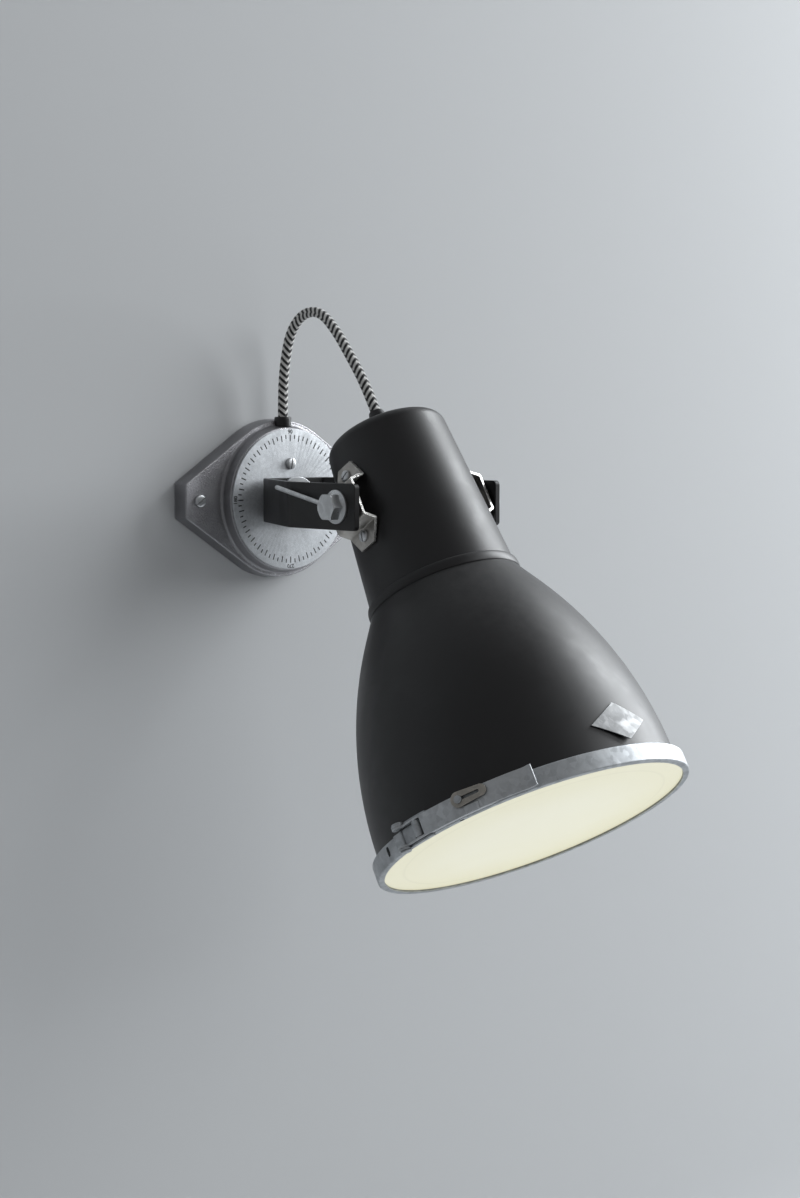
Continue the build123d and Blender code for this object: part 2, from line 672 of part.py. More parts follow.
def neck_solid(inset):
    """Capped neck as a full body, its surface set in by an amount."""
    top = NECK_TOP + inset
    shoulder_r = neck_radius(NECK_TOP) - inset
    apex = CAP_APEX + inset
    outline = [
        dome(shoulder_r, top, apex),
        Line((shoulder_r, top), (neck_radius(NECK_END) - inset, NECK_END)),
        Line((neck_radius(NECK_END) - inset, NECK_END), (0, NECK_END)),
        Line((0, NECK_END), (0, apex)),
    ]
    face = make_face(outline)
    shoulder = face.vertices().sort_by_distance((shoulder_r, top, 0))[0]
    return revolve(Plane.XZ * fillet(shoulder, CAP_FILLET - inset), Axis.Z)


def neck_shell():
    """Spun cap and neck, open below, bored for the gland and the bracket screws."""
    shell = neck_solid(0) - neck_solid(SHELL)
    shell -= rod(NIPPLE_R + SEAT, CAP_APEX - 1, CAP_APEX + 2 * SHELL)
    for side in (-1, 1):
        for station in (-TAB_SCREW, TAB_SCREW):
            shell -= tab_frame(side, station) * rod(M4_HOLE_R, -3 * SHELL, 2)
    return HEAD.location * shell


def flare_point(inset, turn):
    """Point (radius, station) on the bell's arc at an angle from its straight end."""
    arc = FLARE_ARC - inset
    return (BELL_R - FLARE_ARC + arc * math.cos(turn), BELL_STRAIGHT - arc * math.sin(turn))


def crease_point(inset):
    """Point where the collar, set in by an amount, meets the straight flare."""
    collar = NECK_R + SEAT + SHELL - inset
    radius, station = flare_point(inset, FLARE_RAD)
    slope = math.tan(FLARE_RAD)
    crease = (collar - radius + slope * station) / (slope - NECK_SLOPE)
    return (collar + NECK_SLOPE * crease, crease)


def bell_shell():
    """Spun bell: collar on the neck, straight flare, long arc and turned-out rim."""
    def collar(inset):
        return (neck_radius(COLLAR_START) + SEAT + SHELL - inset, COLLAR_START)

    def wall(inset, last):
        return [
            Line(collar(inset), crease_point(inset)),
            Line(crease_point(inset), flare_point(inset, FLARE_RAD)),
            ThreePointArc(
                flare_point(inset, FLARE_RAD),
                flare_point(inset, FLARE_RAD / 2),
                flare_point(inset, 0),
            ),
            Line(flare_point(inset, 0), (BELL_R - inset, last)),
        ]

    rim_back = RIM_FACE - SHELL
    outline = wall(0, rim_back) + wall(SHELL, RIM_FACE) + [
        Line((BELL_R, rim_back), (RIM_R, rim_back)),
        Line((RIM_R, rim_back), (RIM_R, RIM_FACE)),
        Line((RIM_R, RIM_FACE), (BELL_R - SHELL, RIM_FACE)),
        Line(collar(0), collar(SHELL)),
    ]
    return HEAD.location * lathe(outline)


def shade_gland():
    """Cord grip that screws on the nipple on top of the cap."""
    outline = Polyline(
        (NIPPLE_R + SEAT, CAP_APEX - SEAT),
        (GLAND_R, CAP_APEX - SEAT),
        (GLAND_R, SHADE_GLAND_STEP),
        (SHADE_GLAND_TIP_R, SHADE_GLAND_TOP),
        (GLAND_BORE_R, SHADE_GLAND_TOP),
        (GLAND_BORE_R, NIPPLE_TOP - SEAT),
        (NIPPLE_R + SEAT, NIPPLE_TOP - SEAT),
        close=True,
    )
    return HEAD.location * lathe(outline)


def nipple():
    """Threaded tube through the cap, from the cord grip to the lamp holder."""
    return HEAD.location * ring(NIPPLE_R, NIPPLE_BORE_R, NIPPLE_TOP, NIPPLE_END)


def nipple_nut():
    """Nut that pulls the cord grip down on the cap."""
    corner = NIPPLE_NUT_ACROSS / math.sqrt(3)
    fall = (NECK_TOP - CAP_APEX) * (corner / (neck_radius(NECK_TOP) - SHELL)) ** 2
    start = CAP_APEX + SHELL + fall + SEAT
    nut = hexagon(NIPPLE_NUT_ACROSS, start, start + NIPPLE_NUT_HEIGHT, NIPPLE_R + SEAT)
    return HEAD.location * nut


def lamp_holder():
    """Hollow lamp holder with a domed top, screwed on the nipple."""
    inner = HOLDER_R - HOLDER_WALL
    outline = [
        Line((NIPPLE_R + SEAT, HOLDER_TOP), (HOLDER_NECK_R, HOLDER_TOP)),
        Line((HOLDER_NECK_R, HOLDER_TOP), (HOLDER_R, HOLDER_SHOULDER)),
        Line((HOLDER_R, HOLDER_SHOULDER), (HOLDER_R, HOLDER_END)),
        Line((HOLDER_R, HOLDER_END), (inner, HOLDER_END)),
        Line((inner, HOLDER_END), (inner, HOLDER_FLOOR)),
        Line((inner, HOLDER_FLOOR), (NIPPLE_R + SEAT, HOLDER_FLOOR)),
        Line((NIPPLE_R + SEAT, HOLDER_FLOOR), (NIPPLE_R + SEAT, HOLDER_TOP)),
    ]
    return HEAD.location * lathe(outline)


def bulb_cap():
    """Screw cap of the bulb."""
    cap = rod(LAMP_CAP_R, LAMP_CAP_TOP + LAMP_CAP_TIP, LAMP_CAP_END)
    tip = loft([
        Pos(0, 0, LAMP_CAP_TOP) * Circle(LAMP_CAP_R / 3),
        Pos(0, 0, LAMP_CAP_TOP + LAMP_CAP_TIP) * Circle(LAMP_CAP_R),
    ])
    return HEAD.location * (cap + tip)


def bulb_glass():
    """Bulb envelope: a neck that swells to a globe."""
    globe = BULB_END - BULB_R
    swell = LAMP_CAP_END + BULB_SWELL_AT * (globe - LAMP_CAP_END)
    outline = [
        Line((0, LAMP_CAP_END + SEAT), (LAMP_CAP_R, LAMP_CAP_END + SEAT)),
        Spline(
            (LAMP_CAP_R, LAMP_CAP_END + SEAT),
            (BULB_SWELL_R, swell),
            (BULB_R, globe),
            tangents=[(0.2, 1), (0, 1)],
        ),
        RadiusArc((BULB_R, globe), (0, BULB_END), -BULB_R),
        Line((0, BULB_END), (0, LAMP_CAP_END + SEAT)),
    ]
    return HEAD.location * lathe(outline)


def lens_gasket():
    """Flat gasket between the bell's rim and the lens."""
    return HEAD.location * ring(GASKET_R, GASKET_BORE, RIM_FACE + SEAT, LENS_FROM)


def lens():
    """Domed opal lens with a square rim held by the clamp ring."""
    face = RING_LOW - RING_WALL - SEAT
    outline = [
        Line((LENS_R, LENS_FROM + SEAT), (LENS_R, face)),
        Line((LENS_R, face), (LENS_DOME_R, face)),
        dome(LENS_DOME_R, face, face + LENS_RISE),
        Line((0, face + LENS_RISE), (0, face + LENS_RISE - LENS_THICK)),
        dome(GASKET_BORE, LENS_FROM + SEAT, face + LENS_RISE - LENS_THICK),
        Line((GASKET_BORE, LENS_FROM + SEAT), (LENS_R, LENS_FROM + SEAT)),
    ]
    return HEAD.location * lathe(outline)


# ---- clamp ring and latch ----

def hook_hole(angle):
    """Oval hole through the ring's wall for the link's tongue."""
    width, length = HOOK_HOLE
    plane = outward(angle, RING_R - 2 * RING_WALL, LATCH_MID)
    return plane.location * extrude(SlotOverall(length, width), 3 * RING_WALL)


def clamp_ring():
    """Split U-section band round the bell's rim and the lens, with its lug bracket."""
    profile = make_face(Polyline(
        (RING_TOP_LIP_R, RING_TOP),
        (RING_R, RING_TOP),
        (RING_R, RING_LOW),
        (RING_LOW_LIP_R, RING_LOW),
        (RING_LOW_LIP_R, RING_LOW - RING_WALL),
        (RING_R - RING_WALL, RING_LOW - RING_WALL),
        (RING_R - RING_WALL, RING_TOP + RING_WALL),
        (RING_TOP_LIP_R, RING_TOP + RING_WALL),
        close=True,
    ))
    bends = profile.vertices().filter_by(lambda corner: corner.X > RING_R - RING_WALL / 2)
    band = revolve(Plane.XZ * fillet(bends, RING_BEND), Axis.Z)
    band -= sector(RING_LOW_LIP_R - 2, RING_R + 2, GAP_START, GAP_END, RING_TOP - 1, RING_LOW + 1)
    band -= cross_pin(LIP_HOLE_R, LIP_HOLE_AT_R, LIP_HOLE_ANGLE, RING_LOW - 2 * RING_WALL, RING_LOW + 1)
    return HEAD.location * (band - hook_hole(HOOK_ANGLE) - hook_hole(SPARE_HOLE_ANGLE))


def ring_lug():
    """Saddle on the band's end, with two cheeks past its edges that carry the lever."""
    foot = RING_R + SEAT
    low, high = LATCH_MID - LUG_HALF, LATCH_MID + LUG_HALF
    lug = sector(foot, LUG_TOP_R, LUG_START, SADDLE_END, RING_TOP, RING_LOW)
    lug += sector(foot, LUG_TOP_R, CHEEK_START, SADDLE_END, low, high)
    for start in (low, high - LUG_PLATE):
        cheek = sector(foot, CHEEK_R, CHEEK_START, PIVOT_ANGLE, start, start + LUG_PLATE)
        lug += cheek + cross_pin(LUG_EAR_R, PIVOT_R, PIVOT_ANGLE, start, start + LUG_PLATE)
    bore = cross_pin(RIVET_R + SEAT, PIVOT_R, PIVOT_ANGLE, low - 1, high + 1)
    return HEAD.location * (lug - bore)


def lever_rivets():
    """Stub rivets on which the lever's ears turn, one in each cheek."""
    inside = LEVER_HALF - LEVER_SIDE
    head_from = LUG_HALF + SEAT
    rivet = rod(RIVET_R, inside, head_from) + rod(RIVET_HEAD_R, head_from, head_from + RIVET_HEAD)
    x, y = polar(PIVOT_R, PIVOT_ANGLE)
    place = Pos(x, y, LATCH_MID)
    solids = [HEAD.location * place * rivet, HEAD.location * place * Rot(180, 0, 0) * rivet]
    return Compound(children=solids)


def latch_lever():
    """Over-centre lever: a curved channel with ears and a turned-up finger lip."""
    inner = LEVER_R - LEVER_PLATE
    low, high = LATCH_MID - LEVER_HALF, LATCH_MID + LEVER_HALF
    lever = sector(inner, LEVER_R, LEVER_TIP, LEVER_WEB_END, low, high)
    root = LEVER_TIP + LEVER_LIP_ROOT
    lip = make_face(Polyline(
        polar(inner, root), polar(LEVER_R, root),
        polar(LEVER_LIP_R, LEVER_LIP), polar(LEVER_LIP_R - LEVER_PLATE, LEVER_LIP), close=True,
    ))
    lever += Pos(0, 0, low) * extrude(lip, high - low)

    for start in (low, high - LEVER_SIDE):
        side = sector(LEVER_INNER_R, LEVER_R, SIDE_START, PIVOT_ANGLE, start, start + LEVER_SIDE)
        nose = make_face(Polyline(
            polar(LEVER_INNER_R, SIDE_START), polar(LEVER_R, SIDE_START),
            polar(LEVER_R, SIDE_START - SIDE_NOSE), polar(inner, SIDE_START - SIDE_NOSE), close=True,
        ))
        ear = cross_pin(LEVER_EAR_R, PIVOT_R, PIVOT_ANGLE, start, start + LEVER_SIDE)
        lever += side + Pos(0, 0, start) * extrude(nose, LEVER_SIDE) + ear
    lever -= cross_pin(RIVET_R + RUN, PIVOT_R, PIVOT_ANGLE, low - 1, high + 1)
    lever -= cross_pin(PIN_R + SEAT, PIN_AT_R, PIN_ANGLE, low - 1, high + 1)
    rivet_bore = outward(CATCH_ANGLE, inner - 1, CATCH_STATION).location
    lever -= rivet_bore * rod(CATCH_RIVET_R + SEAT, 0, 2 * LEVER_PLATE + 1)
    return HEAD.location * lever


def link_pin():
    """Pin through the lever's sides that carries the link, headed inside them."""
    head_to = LEVER_HALF - LEVER_SIDE - SEAT
    pin = rod(PIN_R, -LEVER_HALF, LEVER_HALF)
    pin += rod(PIN_HEAD_R, head_to - PIN_HEAD, head_to)
    pin += rod(PIN_HEAD_R, -head_to, PIN_HEAD - head_to)
    x, y = polar(PIN_AT_R, PIN_ANGLE)
    return HEAD.location * Pos(x, y, LATCH_MID) * pin


def latch_link():
    """Curved link: an eye on the pin, a rolled rib, and a tongue in the band's hole."""
    low, high = LATCH_MID - LINK_WIDTH / 2, LATCH_MID + LINK_WIDTH / 2
    outer = LINK_IN_R + LINK_PLATE
    link = sector(LINK_IN_R, outer, PIN_ANGLE, HOOK_ANGLE + TONGUE_HALF_ANGLE, low, high)
    link += cross_pin(LINK_EYE_R, PIN_AT_R, PIN_ANGLE, low, high)
    link += cross_pin(LINK_RIB_R, outer, LINK_RIB_ANGLE, low, high)
    link += sector(
        TONGUE_R, LINK_IN_R + LINK_PLATE / 2,
        HOOK_ANGLE - TONGUE_HALF_ANGLE, HOOK_ANGLE + TONGUE_HALF_ANGLE,
        LATCH_MID - TONGUE_WIDTH / 2, LATCH_MID + TONGUE_WIDTH / 2,
    )
    return HEAD.location * (link - cross_pin(PIN_R + RUN, PIN_AT_R, PIN_ANGLE, low - 1, high + 1))


def catch_plate():
    """Curved swing plate on the lever, wider at its free end, slotted, held by one rivet."""
    inner = LEVER_R + CATCH_LIFT
    outer = inner + CATCH_PLATE
    half = math.radians(CATCH_ANGLE - CATCH_END_ANGLE) * outer / 2
    lean = math.asin((CATCH_END_R - CATCH_ROOT_R) / (2 * half))
    root_x, root_y = half - CATCH_ROOT_R * math.sin(lean), CATCH_ROOT_R * math.cos(lean)
    end_x, end_y = -half - CATCH_END_R * math.sin(lean), CATCH_END_R * math.cos(lean)
    plan = make_face([
        Line((root_x, root_y), (end_x, end_y)),
        ThreePointArc((end_x, end_y), (-half - CATCH_END_R, 0), (end_x, -end_y)),
        Line((end_x, -end_y), (root_x, -root_y)),
        ThreePointArc((root_x, -root_y), (half + CATCH_ROOT_R, 0), (root_x, root_y)),
    ])
    plan -= SlotOverall(*CATCH_SLOT)
    middle = (CATCH_ANGLE + CATCH_END_ANGLE) / 2
    plane = outward(middle, inner / 2, CATCH_STATION).location * Rot(0, 0, 90)
    reach = math.degrees(CATCH_END_R / inner) + 1
    plate = sector(
        inner, outer, CATCH_END_ANGLE - reach, CATCH_ANGLE + reach,
        CATCH_STATION - 2 * CATCH_END_R, CATCH_STATION + 2 * CATCH_END_R,
    )
    plate &= plane * extrude(plan, outer)
    bore = outward(CATCH_ANGLE, inner - 1, CATCH_STATION).location
    return HEAD.location * (plate - bore * rod(CATCH_RIVET_R + RUN, 0, 3))


def catch_rivet():
    """Rivet in the lever with a washer under the catch plate and a head over it."""
    web = outward(CATCH_ANGLE, LEVER_R, CATCH_STATION).location
    top = CATCH_LIFT + CATCH_PLATE + FACE
    rivet = rod(CATCH_RIVET_R, -LEVER_PLATE, top)
    rivet += rod(CATCH_HEAD_R, top, top + CATCH_HEAD)
    rivet += rod(CATCH_HEAD_R, SEAT, CATCH_LIFT - 2 * FACE)
    return HEAD.location * web * rivet


# ---- cord ----

def cord():
    """Free stretch of the cord: straight runs joined by tangent arcs, from gland to gland."""
    runs = [math.dist(a, b) for a, b in zip(CORD_ROUTE, CORD_ROUTE[1:])]
    radii = []
    for here, (a, b, c) in enumerate(zip(CORD_ROUTE, CORD_ROUTE[1:], CORD_ROUTE[2:])):
        before = Vector(b[0] - a[0], b[1] - a[1])
        after = Vector(c[0] - b[0], c[1] - b[1])
        turn = math.radians(before.get_angle(after))
        radii.append(CORD_BEND_SHARE * min(runs[here], runs[here + 1]) / math.tan(turn / 2))
    route = FilletPolyline(*[(0, y, z) for y, z in CORD_ROUTE], radius=radii)
    section = Plane(origin=route @ 0, z_dir=route % 0) * Circle(CORD_R)
    tube = sweep(section, path=route)
    length = sum(edge.length for edge in route.edges())
    print("cord runs", [round(run, 1) for run in runs])
    print("cord radii", [round(radius, 1) for radius in radii])
    print("cord length", round(length, 1), "volume share", round(
        tube.volume / (length * math.pi * CORD_R ** 2), 4
    ))
    return tube


PARTS = {
    "base_casting": base_casting(),
    "dial_plate": dial_plate(),
    "dial_screw": dial_screw(),
    "base_gland": base_gland(),
    **swivel_stack(),
    "terminal_block": terminal_block(),
    "earth_screw": earth_screw(),
    "yoke": yoke(),
    "friction_washers": friction_washers(),
    "tilt_bolt": tilt_side(1) * tilt_bolt(),
    "clamp_bolt": tilt_side(-1) * tilt_bolt() - tommy_bore(),
    "tommy_bar": tommy_bar(),
    "tilt_nuts": tilt_nuts(),
    "hat_bracket_left": hat_bracket(-1),
    "hat_bracket_right": hat_bracket(1),
    "bracket_screws": bracket_screws(),
    "bracket_nuts": bracket_nuts(),
    "neck_shell": neck_shell(),
    "bell_shell": bell_shell(),
    "shade_gland": shade_gland(),
    "nipple": nipple(),
    "nipple_nut": nipple_nut(),
    "lamp_holder": lamp_holder(),
    "bulb_cap": bulb_cap(),
    "bulb_glass": bulb_glass(),
    "lens_gasket": lens_gasket(),
    "lens": lens(),
    "clamp_ring": clamp_ring(),
    "ring_lug": ring_lug(),
    "lever_rivets": lever_rivets(),
    "latch_lever": latch_lever(),
    "link_pin": link_pin(),
    "latch_link": latch_link(),
    "catch_plate": catch_plate(),
    "catch_rivet": catch_rivet(),
    "cord": cord(),
}

for part_name, part_shape in PARTS.items():
    save(part_shape, part_name)
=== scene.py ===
"""Looks of a pivoting spotlight wall light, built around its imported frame.

Lengths in the light's own classes are in millimetres, and are turned into
metres where a mesh is made. The studio's lengths are in metres. The shade and
its fittings are drawn in the shade's own frame: X along the tilt axis, Z down
the shade.
"""

from __future__ import annotations

import json
import logging
import math
from collections.abc import Iterable, Sequence
from dataclasses import dataclass
from enum import Enum

import bmesh
import bpy
from mathutils import Matrix, Vector

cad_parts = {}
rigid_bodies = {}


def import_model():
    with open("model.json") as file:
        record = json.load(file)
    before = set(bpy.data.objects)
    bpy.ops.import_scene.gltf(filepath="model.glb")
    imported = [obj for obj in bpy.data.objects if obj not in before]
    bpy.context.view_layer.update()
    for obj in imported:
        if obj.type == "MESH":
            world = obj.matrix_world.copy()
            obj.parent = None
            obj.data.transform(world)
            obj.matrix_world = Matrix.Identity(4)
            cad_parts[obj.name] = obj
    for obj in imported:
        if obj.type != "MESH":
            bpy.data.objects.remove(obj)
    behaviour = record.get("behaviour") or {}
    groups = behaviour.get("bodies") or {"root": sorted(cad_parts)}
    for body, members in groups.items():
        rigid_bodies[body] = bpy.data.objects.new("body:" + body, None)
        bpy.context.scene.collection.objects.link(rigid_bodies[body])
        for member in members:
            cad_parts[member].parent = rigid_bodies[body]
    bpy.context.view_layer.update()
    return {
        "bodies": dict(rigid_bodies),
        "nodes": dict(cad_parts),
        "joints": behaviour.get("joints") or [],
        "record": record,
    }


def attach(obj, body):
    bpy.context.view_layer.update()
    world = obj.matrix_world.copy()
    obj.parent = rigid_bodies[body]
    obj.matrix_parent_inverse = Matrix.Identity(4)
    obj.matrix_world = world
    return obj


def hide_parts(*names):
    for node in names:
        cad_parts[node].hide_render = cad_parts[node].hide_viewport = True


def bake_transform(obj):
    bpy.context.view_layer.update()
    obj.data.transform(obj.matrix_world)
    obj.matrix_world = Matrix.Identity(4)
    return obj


LOG = logging.getLogger("wall_light")
MM = 0.001
SMOOTH_ANGLE = math.radians(32)   # edges bent less than this are shaded smooth
HARD_ANGLE = math.radians(30)     # edges bent more than this are rounded off
STRAIGHT_HALF = math.radians(88)  # corners wider than twice this stay as they are
SIDE_SHARE = 0.45                 # most of a side that a rounded corner takes
ON_AXIS = 1e-6                    # radius below which a point lies on the axis

Colour = tuple[float, float, float]
Point = tuple[float, float, float]
Span = tuple[float, float]
Profile = list[Span]
Socket = bpy.types.NodeSocket
UNLIT: Colour = (0.0, 0.0, 0.0)


class Body(str, Enum):
    """The moving bodies of the light."""

    BASE = "base"
    YOKE = "yoke"
    CLAMP = "clamp"
    HEAD = "head"
    LEVER = "lever"
    LINK = "link"
    CATCH = "catch"


class Slot(str, Enum):
    """The finishes, most of them named as in the record."""

    CASTING = "cast_aluminium"
    DIAL = "dial_metal"
    STEEL = "bright_steel"
    BLACK_BAR = "black_bar"
    STRIP = "zinc_strip"
    GALVANISED = "galvanised"
    # Lighter copy of the galvanised finish: painted light.
    LATCH = "galvanised.latch"
    CATCH = "galvanised.catch"
    # Darker copy of the galvanised finish: painted shade.
    BADGE = "galvanised.badge"
    SHADE = "shade_paint"
    PLASTIC = "black_plastic"
    BRASS = "brass"
    CERAMIC = "holder_ceramic"
    LAMP_CAP = "bulb_cap_metal"
    BULB = "bulb_opal"
    RUBBER = "gasket_rubber"
    LENS = "opal_glass"
    BRAID = "cord_braid"

    @property
    def record(self) -> str:
        """Name of the record's slot, without the shade of finish after the dot."""
        return self.value.partition(".")[0]


# ---- the shade's frame ----

TILT = math.radians(31.1)
TILT_PIVOT = Vector((0.0, -0.154, 0.0))
HEAD_MATRIX = Matrix.Translation(TILT_PIVOT) @ Matrix((
    (1.0, 0.0, 0.0, 0.0),
    (0.0, -math.cos(TILT), -math.sin(TILT), 0.0),
    (0.0, math.sin(TILT), -math.cos(TILT), 0.0),
    (0.0, 0.0, 0.0, 1.0),
))
WALL_MATRIX = Matrix((
    (1.0, 0.0, 0.0, 0.0),
    (0.0, 0.0, -1.0, 0.0),
    (0.0, 1.0, 0.0, 0.0),
    (0.0, 0.0, 0.0, 1.0),
))


# ---- meshes ----

def new_object(name: str, vertices: Sequence[Sequence[float]],
               faces: Sequence[Sequence[int]]) -> bpy.types.Object:
    """Make a smooth-shaded mesh object with sharp edges kept sharp.

    Args:
        name: the piece's name.
        vertices: points in metres.
        faces: vertex indices of each face.

    Returns:
        The linked object.
    """
    mesh = bpy.data.meshes.new(name)
    mesh.from_pydata([tuple(v) for v in vertices], [], [tuple(f) for f in faces])
    mesh.validate()
    mesh.shade_smooth()
    mesh.set_sharp_from_angle(angle=SMOOTH_ANGLE)
    piece = bpy.data.objects.new(name, mesh)
    bpy.context.scene.collection.objects.link(piece)
    return piece


def round_corners(points: Profile, radius: float, steps: int = 3, closed: bool = True) -> Profile:
    """Replace each corner of an outline by a short arc.

    Args:
        points: the outline's corners in order.
        radius: the arc's radius, made smaller where a side is short.
        steps: spans in each arc.
        closed: whether the last corner joins the first.

    Returns:
        The rounded outline.
    """
    rounded: Profile = []
    count = len(points)
    for index in range(count):
        here = Vector(points[index])
        if not closed and index in (0, count - 1):
            rounded.append(tuple(here))
            continue
        back = Vector(points[index - 1]) - here
        ahead = Vector(points[(index + 1) % count]) - here
        half = back.angle(ahead) / 2
        if half > STRAIGHT_HALF:
            rounded.append(tuple(here))
            continue
        reach = min(radius / math.tan(half), back.length * SIDE_SHARE, ahead.length * SIDE_SHARE)
        start = here + back.normalized() * reach
        end = here + ahead.normalized() * reach
        for step in range(steps + 1):
            share = step / steps
            bent = start * (1 - share) ** 2 + here * 2 * share * (1 - share) + end * share ** 2
            rounded.append(tuple(bent))
    return rounded


def turned(name: str, outline: Profile, matrix: Matrix, segments: int = 96) -> bpy.types.Object:
    """Turn a closed outline about its frame's Z axis.

    Args:
        name: the piece's name.
        outline: closed list of (radius, height) in millimetres.
        matrix: frame of the axis.
        segments: spans round the axis.

    Returns:
        The turned piece, placed in that frame.
    """
    vertices = []
    for turn in range(segments):
        angle = math.tau * turn / segments
        for radius, height in outline:
            vertices.append((radius * math.cos(angle) * MM, radius * math.sin(angle) * MM, height * MM))
    count = len(outline)
    faces = []
    for turn in range(segments):
        ahead = (turn + 1) % segments
        for index in range(count):
            after = (index + 1) % count
            if outline[index][0] < ON_AXIS and outline[after][0] < ON_AXIS:
                continue
            faces.append((turn * count + index, ahead * count + index,
                          ahead * count + after, turn * count + after))
    piece = new_object(name, vertices, faces)
    clean_mesh(piece.data)
    piece.matrix_world = matrix
    return piece


def prism(name: str, outline: Profile, low: float, high: float, matrix: Matrix) -> bpy.types.Object:
    """Extrude a closed outline along its frame's Z axis.

    Args:
        name: the piece's name.
        outline: corners (x, y) in millimetres, anticlockwise.
        low: height of the lower face.
        high: height of the upper face.
        matrix: frame of the outline.

    Returns:
        The prism, placed in that frame.
    """
    count = len(outline)
    vertices = [(x * MM, y * MM, z * MM) for z in (low, high) for x, y in outline]
    faces = [tuple(reversed(range(count))), tuple(range(count, 2 * count))]
    for index in range(count):
        after = (index + 1) % count
        faces.append((index, after, after + count, index + count))
    piece = new_object(name, vertices, faces)
    piece.matrix_world = matrix
    return piece


def bent_plate(name: str, radii: Span, angles: Span, stations: Span, steps: int = 10) -> bpy.types.Object:
    """Curved block round the shade's axis.

    Args:
        name: the piece's name.
        radii: inner and outer radius in millimetres.
        angles: first and last place round the shade in degrees.
        stations: upper and lower end down the shade.
        steps: spans round the axis.

    Returns:
        The block, in the shade's frame.
    """
    vertices, faces = [], []
    for step in range(steps + 1):
        turn = math.radians(angles[0] + (angles[1] - angles[0]) * step / steps)
        for radius in radii:
            for station in stations:
                vertices.append((radius * math.cos(turn) * MM, radius * math.sin(turn) * MM, station * MM))
    for step in range(steps):
        here, ahead = 4 * step, 4 * step + 4
        for near, far in ((0, 1), (1, 3), (3, 2), (2, 0)):
            faces.append((here + near, here + far, ahead + far, ahead + near))
    last = 4 * steps
    faces += [(0, 1, 3, 2), (last, last + 2, last + 3, last + 1)]
    piece = new_object(name, vertices, faces)
    clean_mesh(piece.data)
    piece.matrix_world = HEAD_MATRIX
    return piece


def clean_mesh(mesh: bpy.types.Mesh, weld: float = 0.002, flat: float = 0.0) -> None:
    """Weld close vertices, merge coplanar faces and face the surface outward.

    Args:
        mesh: the mesh to change.
        weld: distance in millimetres below which vertices join.
        flat: largest angle in degrees between faces that merge, or none.
    """
    work = bmesh.new()
    work.from_mesh(mesh)
    bmesh.ops.remove_doubles(work, verts=work.verts, dist=weld * MM)
    if flat:
        bmesh.ops.dissolve_limit(work, angle_limit=math.radians(flat), verts=work.verts, edges=work.edges)
    bmesh.ops.recalc_face_normals(work, faces=work.faces)
    work.to_mesh(mesh)
    work.free()
    mesh.set_sharp_from_angle(angle=SMOOTH_ANGLE)


def apply_modifiers(piece: bpy.types.Object) -> bpy.types.Object:
    """Turn a piece's modifiers into its mesh.

    Args:
        piece: the object with modifiers.

    Returns:
        The same object.
    """
    bpy.context.view_layer.update()
    graph = bpy.context.evaluated_depsgraph_get()
    mesh = bpy.data.meshes.new_from_object(piece.evaluated_get(graph), depsgraph=graph)
    piece.modifiers.clear()
    piece.data = mesh
    return piece


def soften(piece: bpy.types.Object, width: float, segments: int = 2) -> bpy.types.Object:
    """Round off a piece's hard edges.

    Args:
        piece: the object.
        width: width of the rounding in millimetres.
        segments: spans across it.

    Returns:
        The same object.
    """
    bevel = piece.modifiers.new("bevel", "BEVEL")
    bevel.width = width * MM
    bevel.segments = segments
    bevel.limit_method = "ANGLE"
    bevel.angle_limit = HARD_ANGLE
    bevel.use_clamp_overlap = True
    bevel.harden_normals = True
    return apply_modifiers(piece)


def cut(piece: bpy.types.Object, cutters: Sequence[bpy.types.Object]) -> bpy.types.Object:
    """Cut shapes out of a piece and remove the cutters.

    Args:
        piece: the object that is cut.
        cutters: closed meshes.

    Returns:
        The same object.
    """
    for cutter in cutters:
        boolean = piece.modifiers.new("cut", "BOOLEAN")
        boolean.operation = "DIFFERENCE"
        boolean.solver = "EXACT"
        boolean.object = cutter
    apply_modifiers(piece)
    for cutter in cutters:
        bpy.data.objects.remove(cutter)
    piece.data.shade_smooth()
    piece.data.set_sharp_from_angle(angle=SMOOTH_ANGLE)
    return piece


def join(name: str, pieces: Sequence[bpy.types.Object]) -> bpy.types.Object:
    """Join placed meshes into one object.

    Args:
        name: the joined piece's name.
        pieces: the objects, which are removed.

    Returns:
        The joined object, in the row's space.
    """
    vertices: list[Vector] = []
    faces: list[tuple[int, ...]] = []
    for piece in pieces:
        first = len(vertices)
        matrix = piece.matrix_world
        vertices += [matrix @ vertex.co for vertex in piece.data.vertices]
        faces += [tuple(first + index for index in face.vertices) for face in piece.data.polygons]
    for piece in pieces:
        bpy.data.objects.remove(piece)
    return new_object(name, vertices, faces)


def to_frame(piece: bpy.types.Object, matrix: Matrix) -> bpy.types.Object:
    """Move a piece's own axes to a frame while its surface stays in place.

    Args:
        piece: the object, whose mesh isn't shared.
        matrix: the new axes.

    Returns:
        The same object.
    """
    bpy.context.view_layer.update()
    piece.data.transform(matrix.inverted() @ piece.matrix_world)
    piece.matrix_world = matrix
    return piece


# ---- node graphs ----

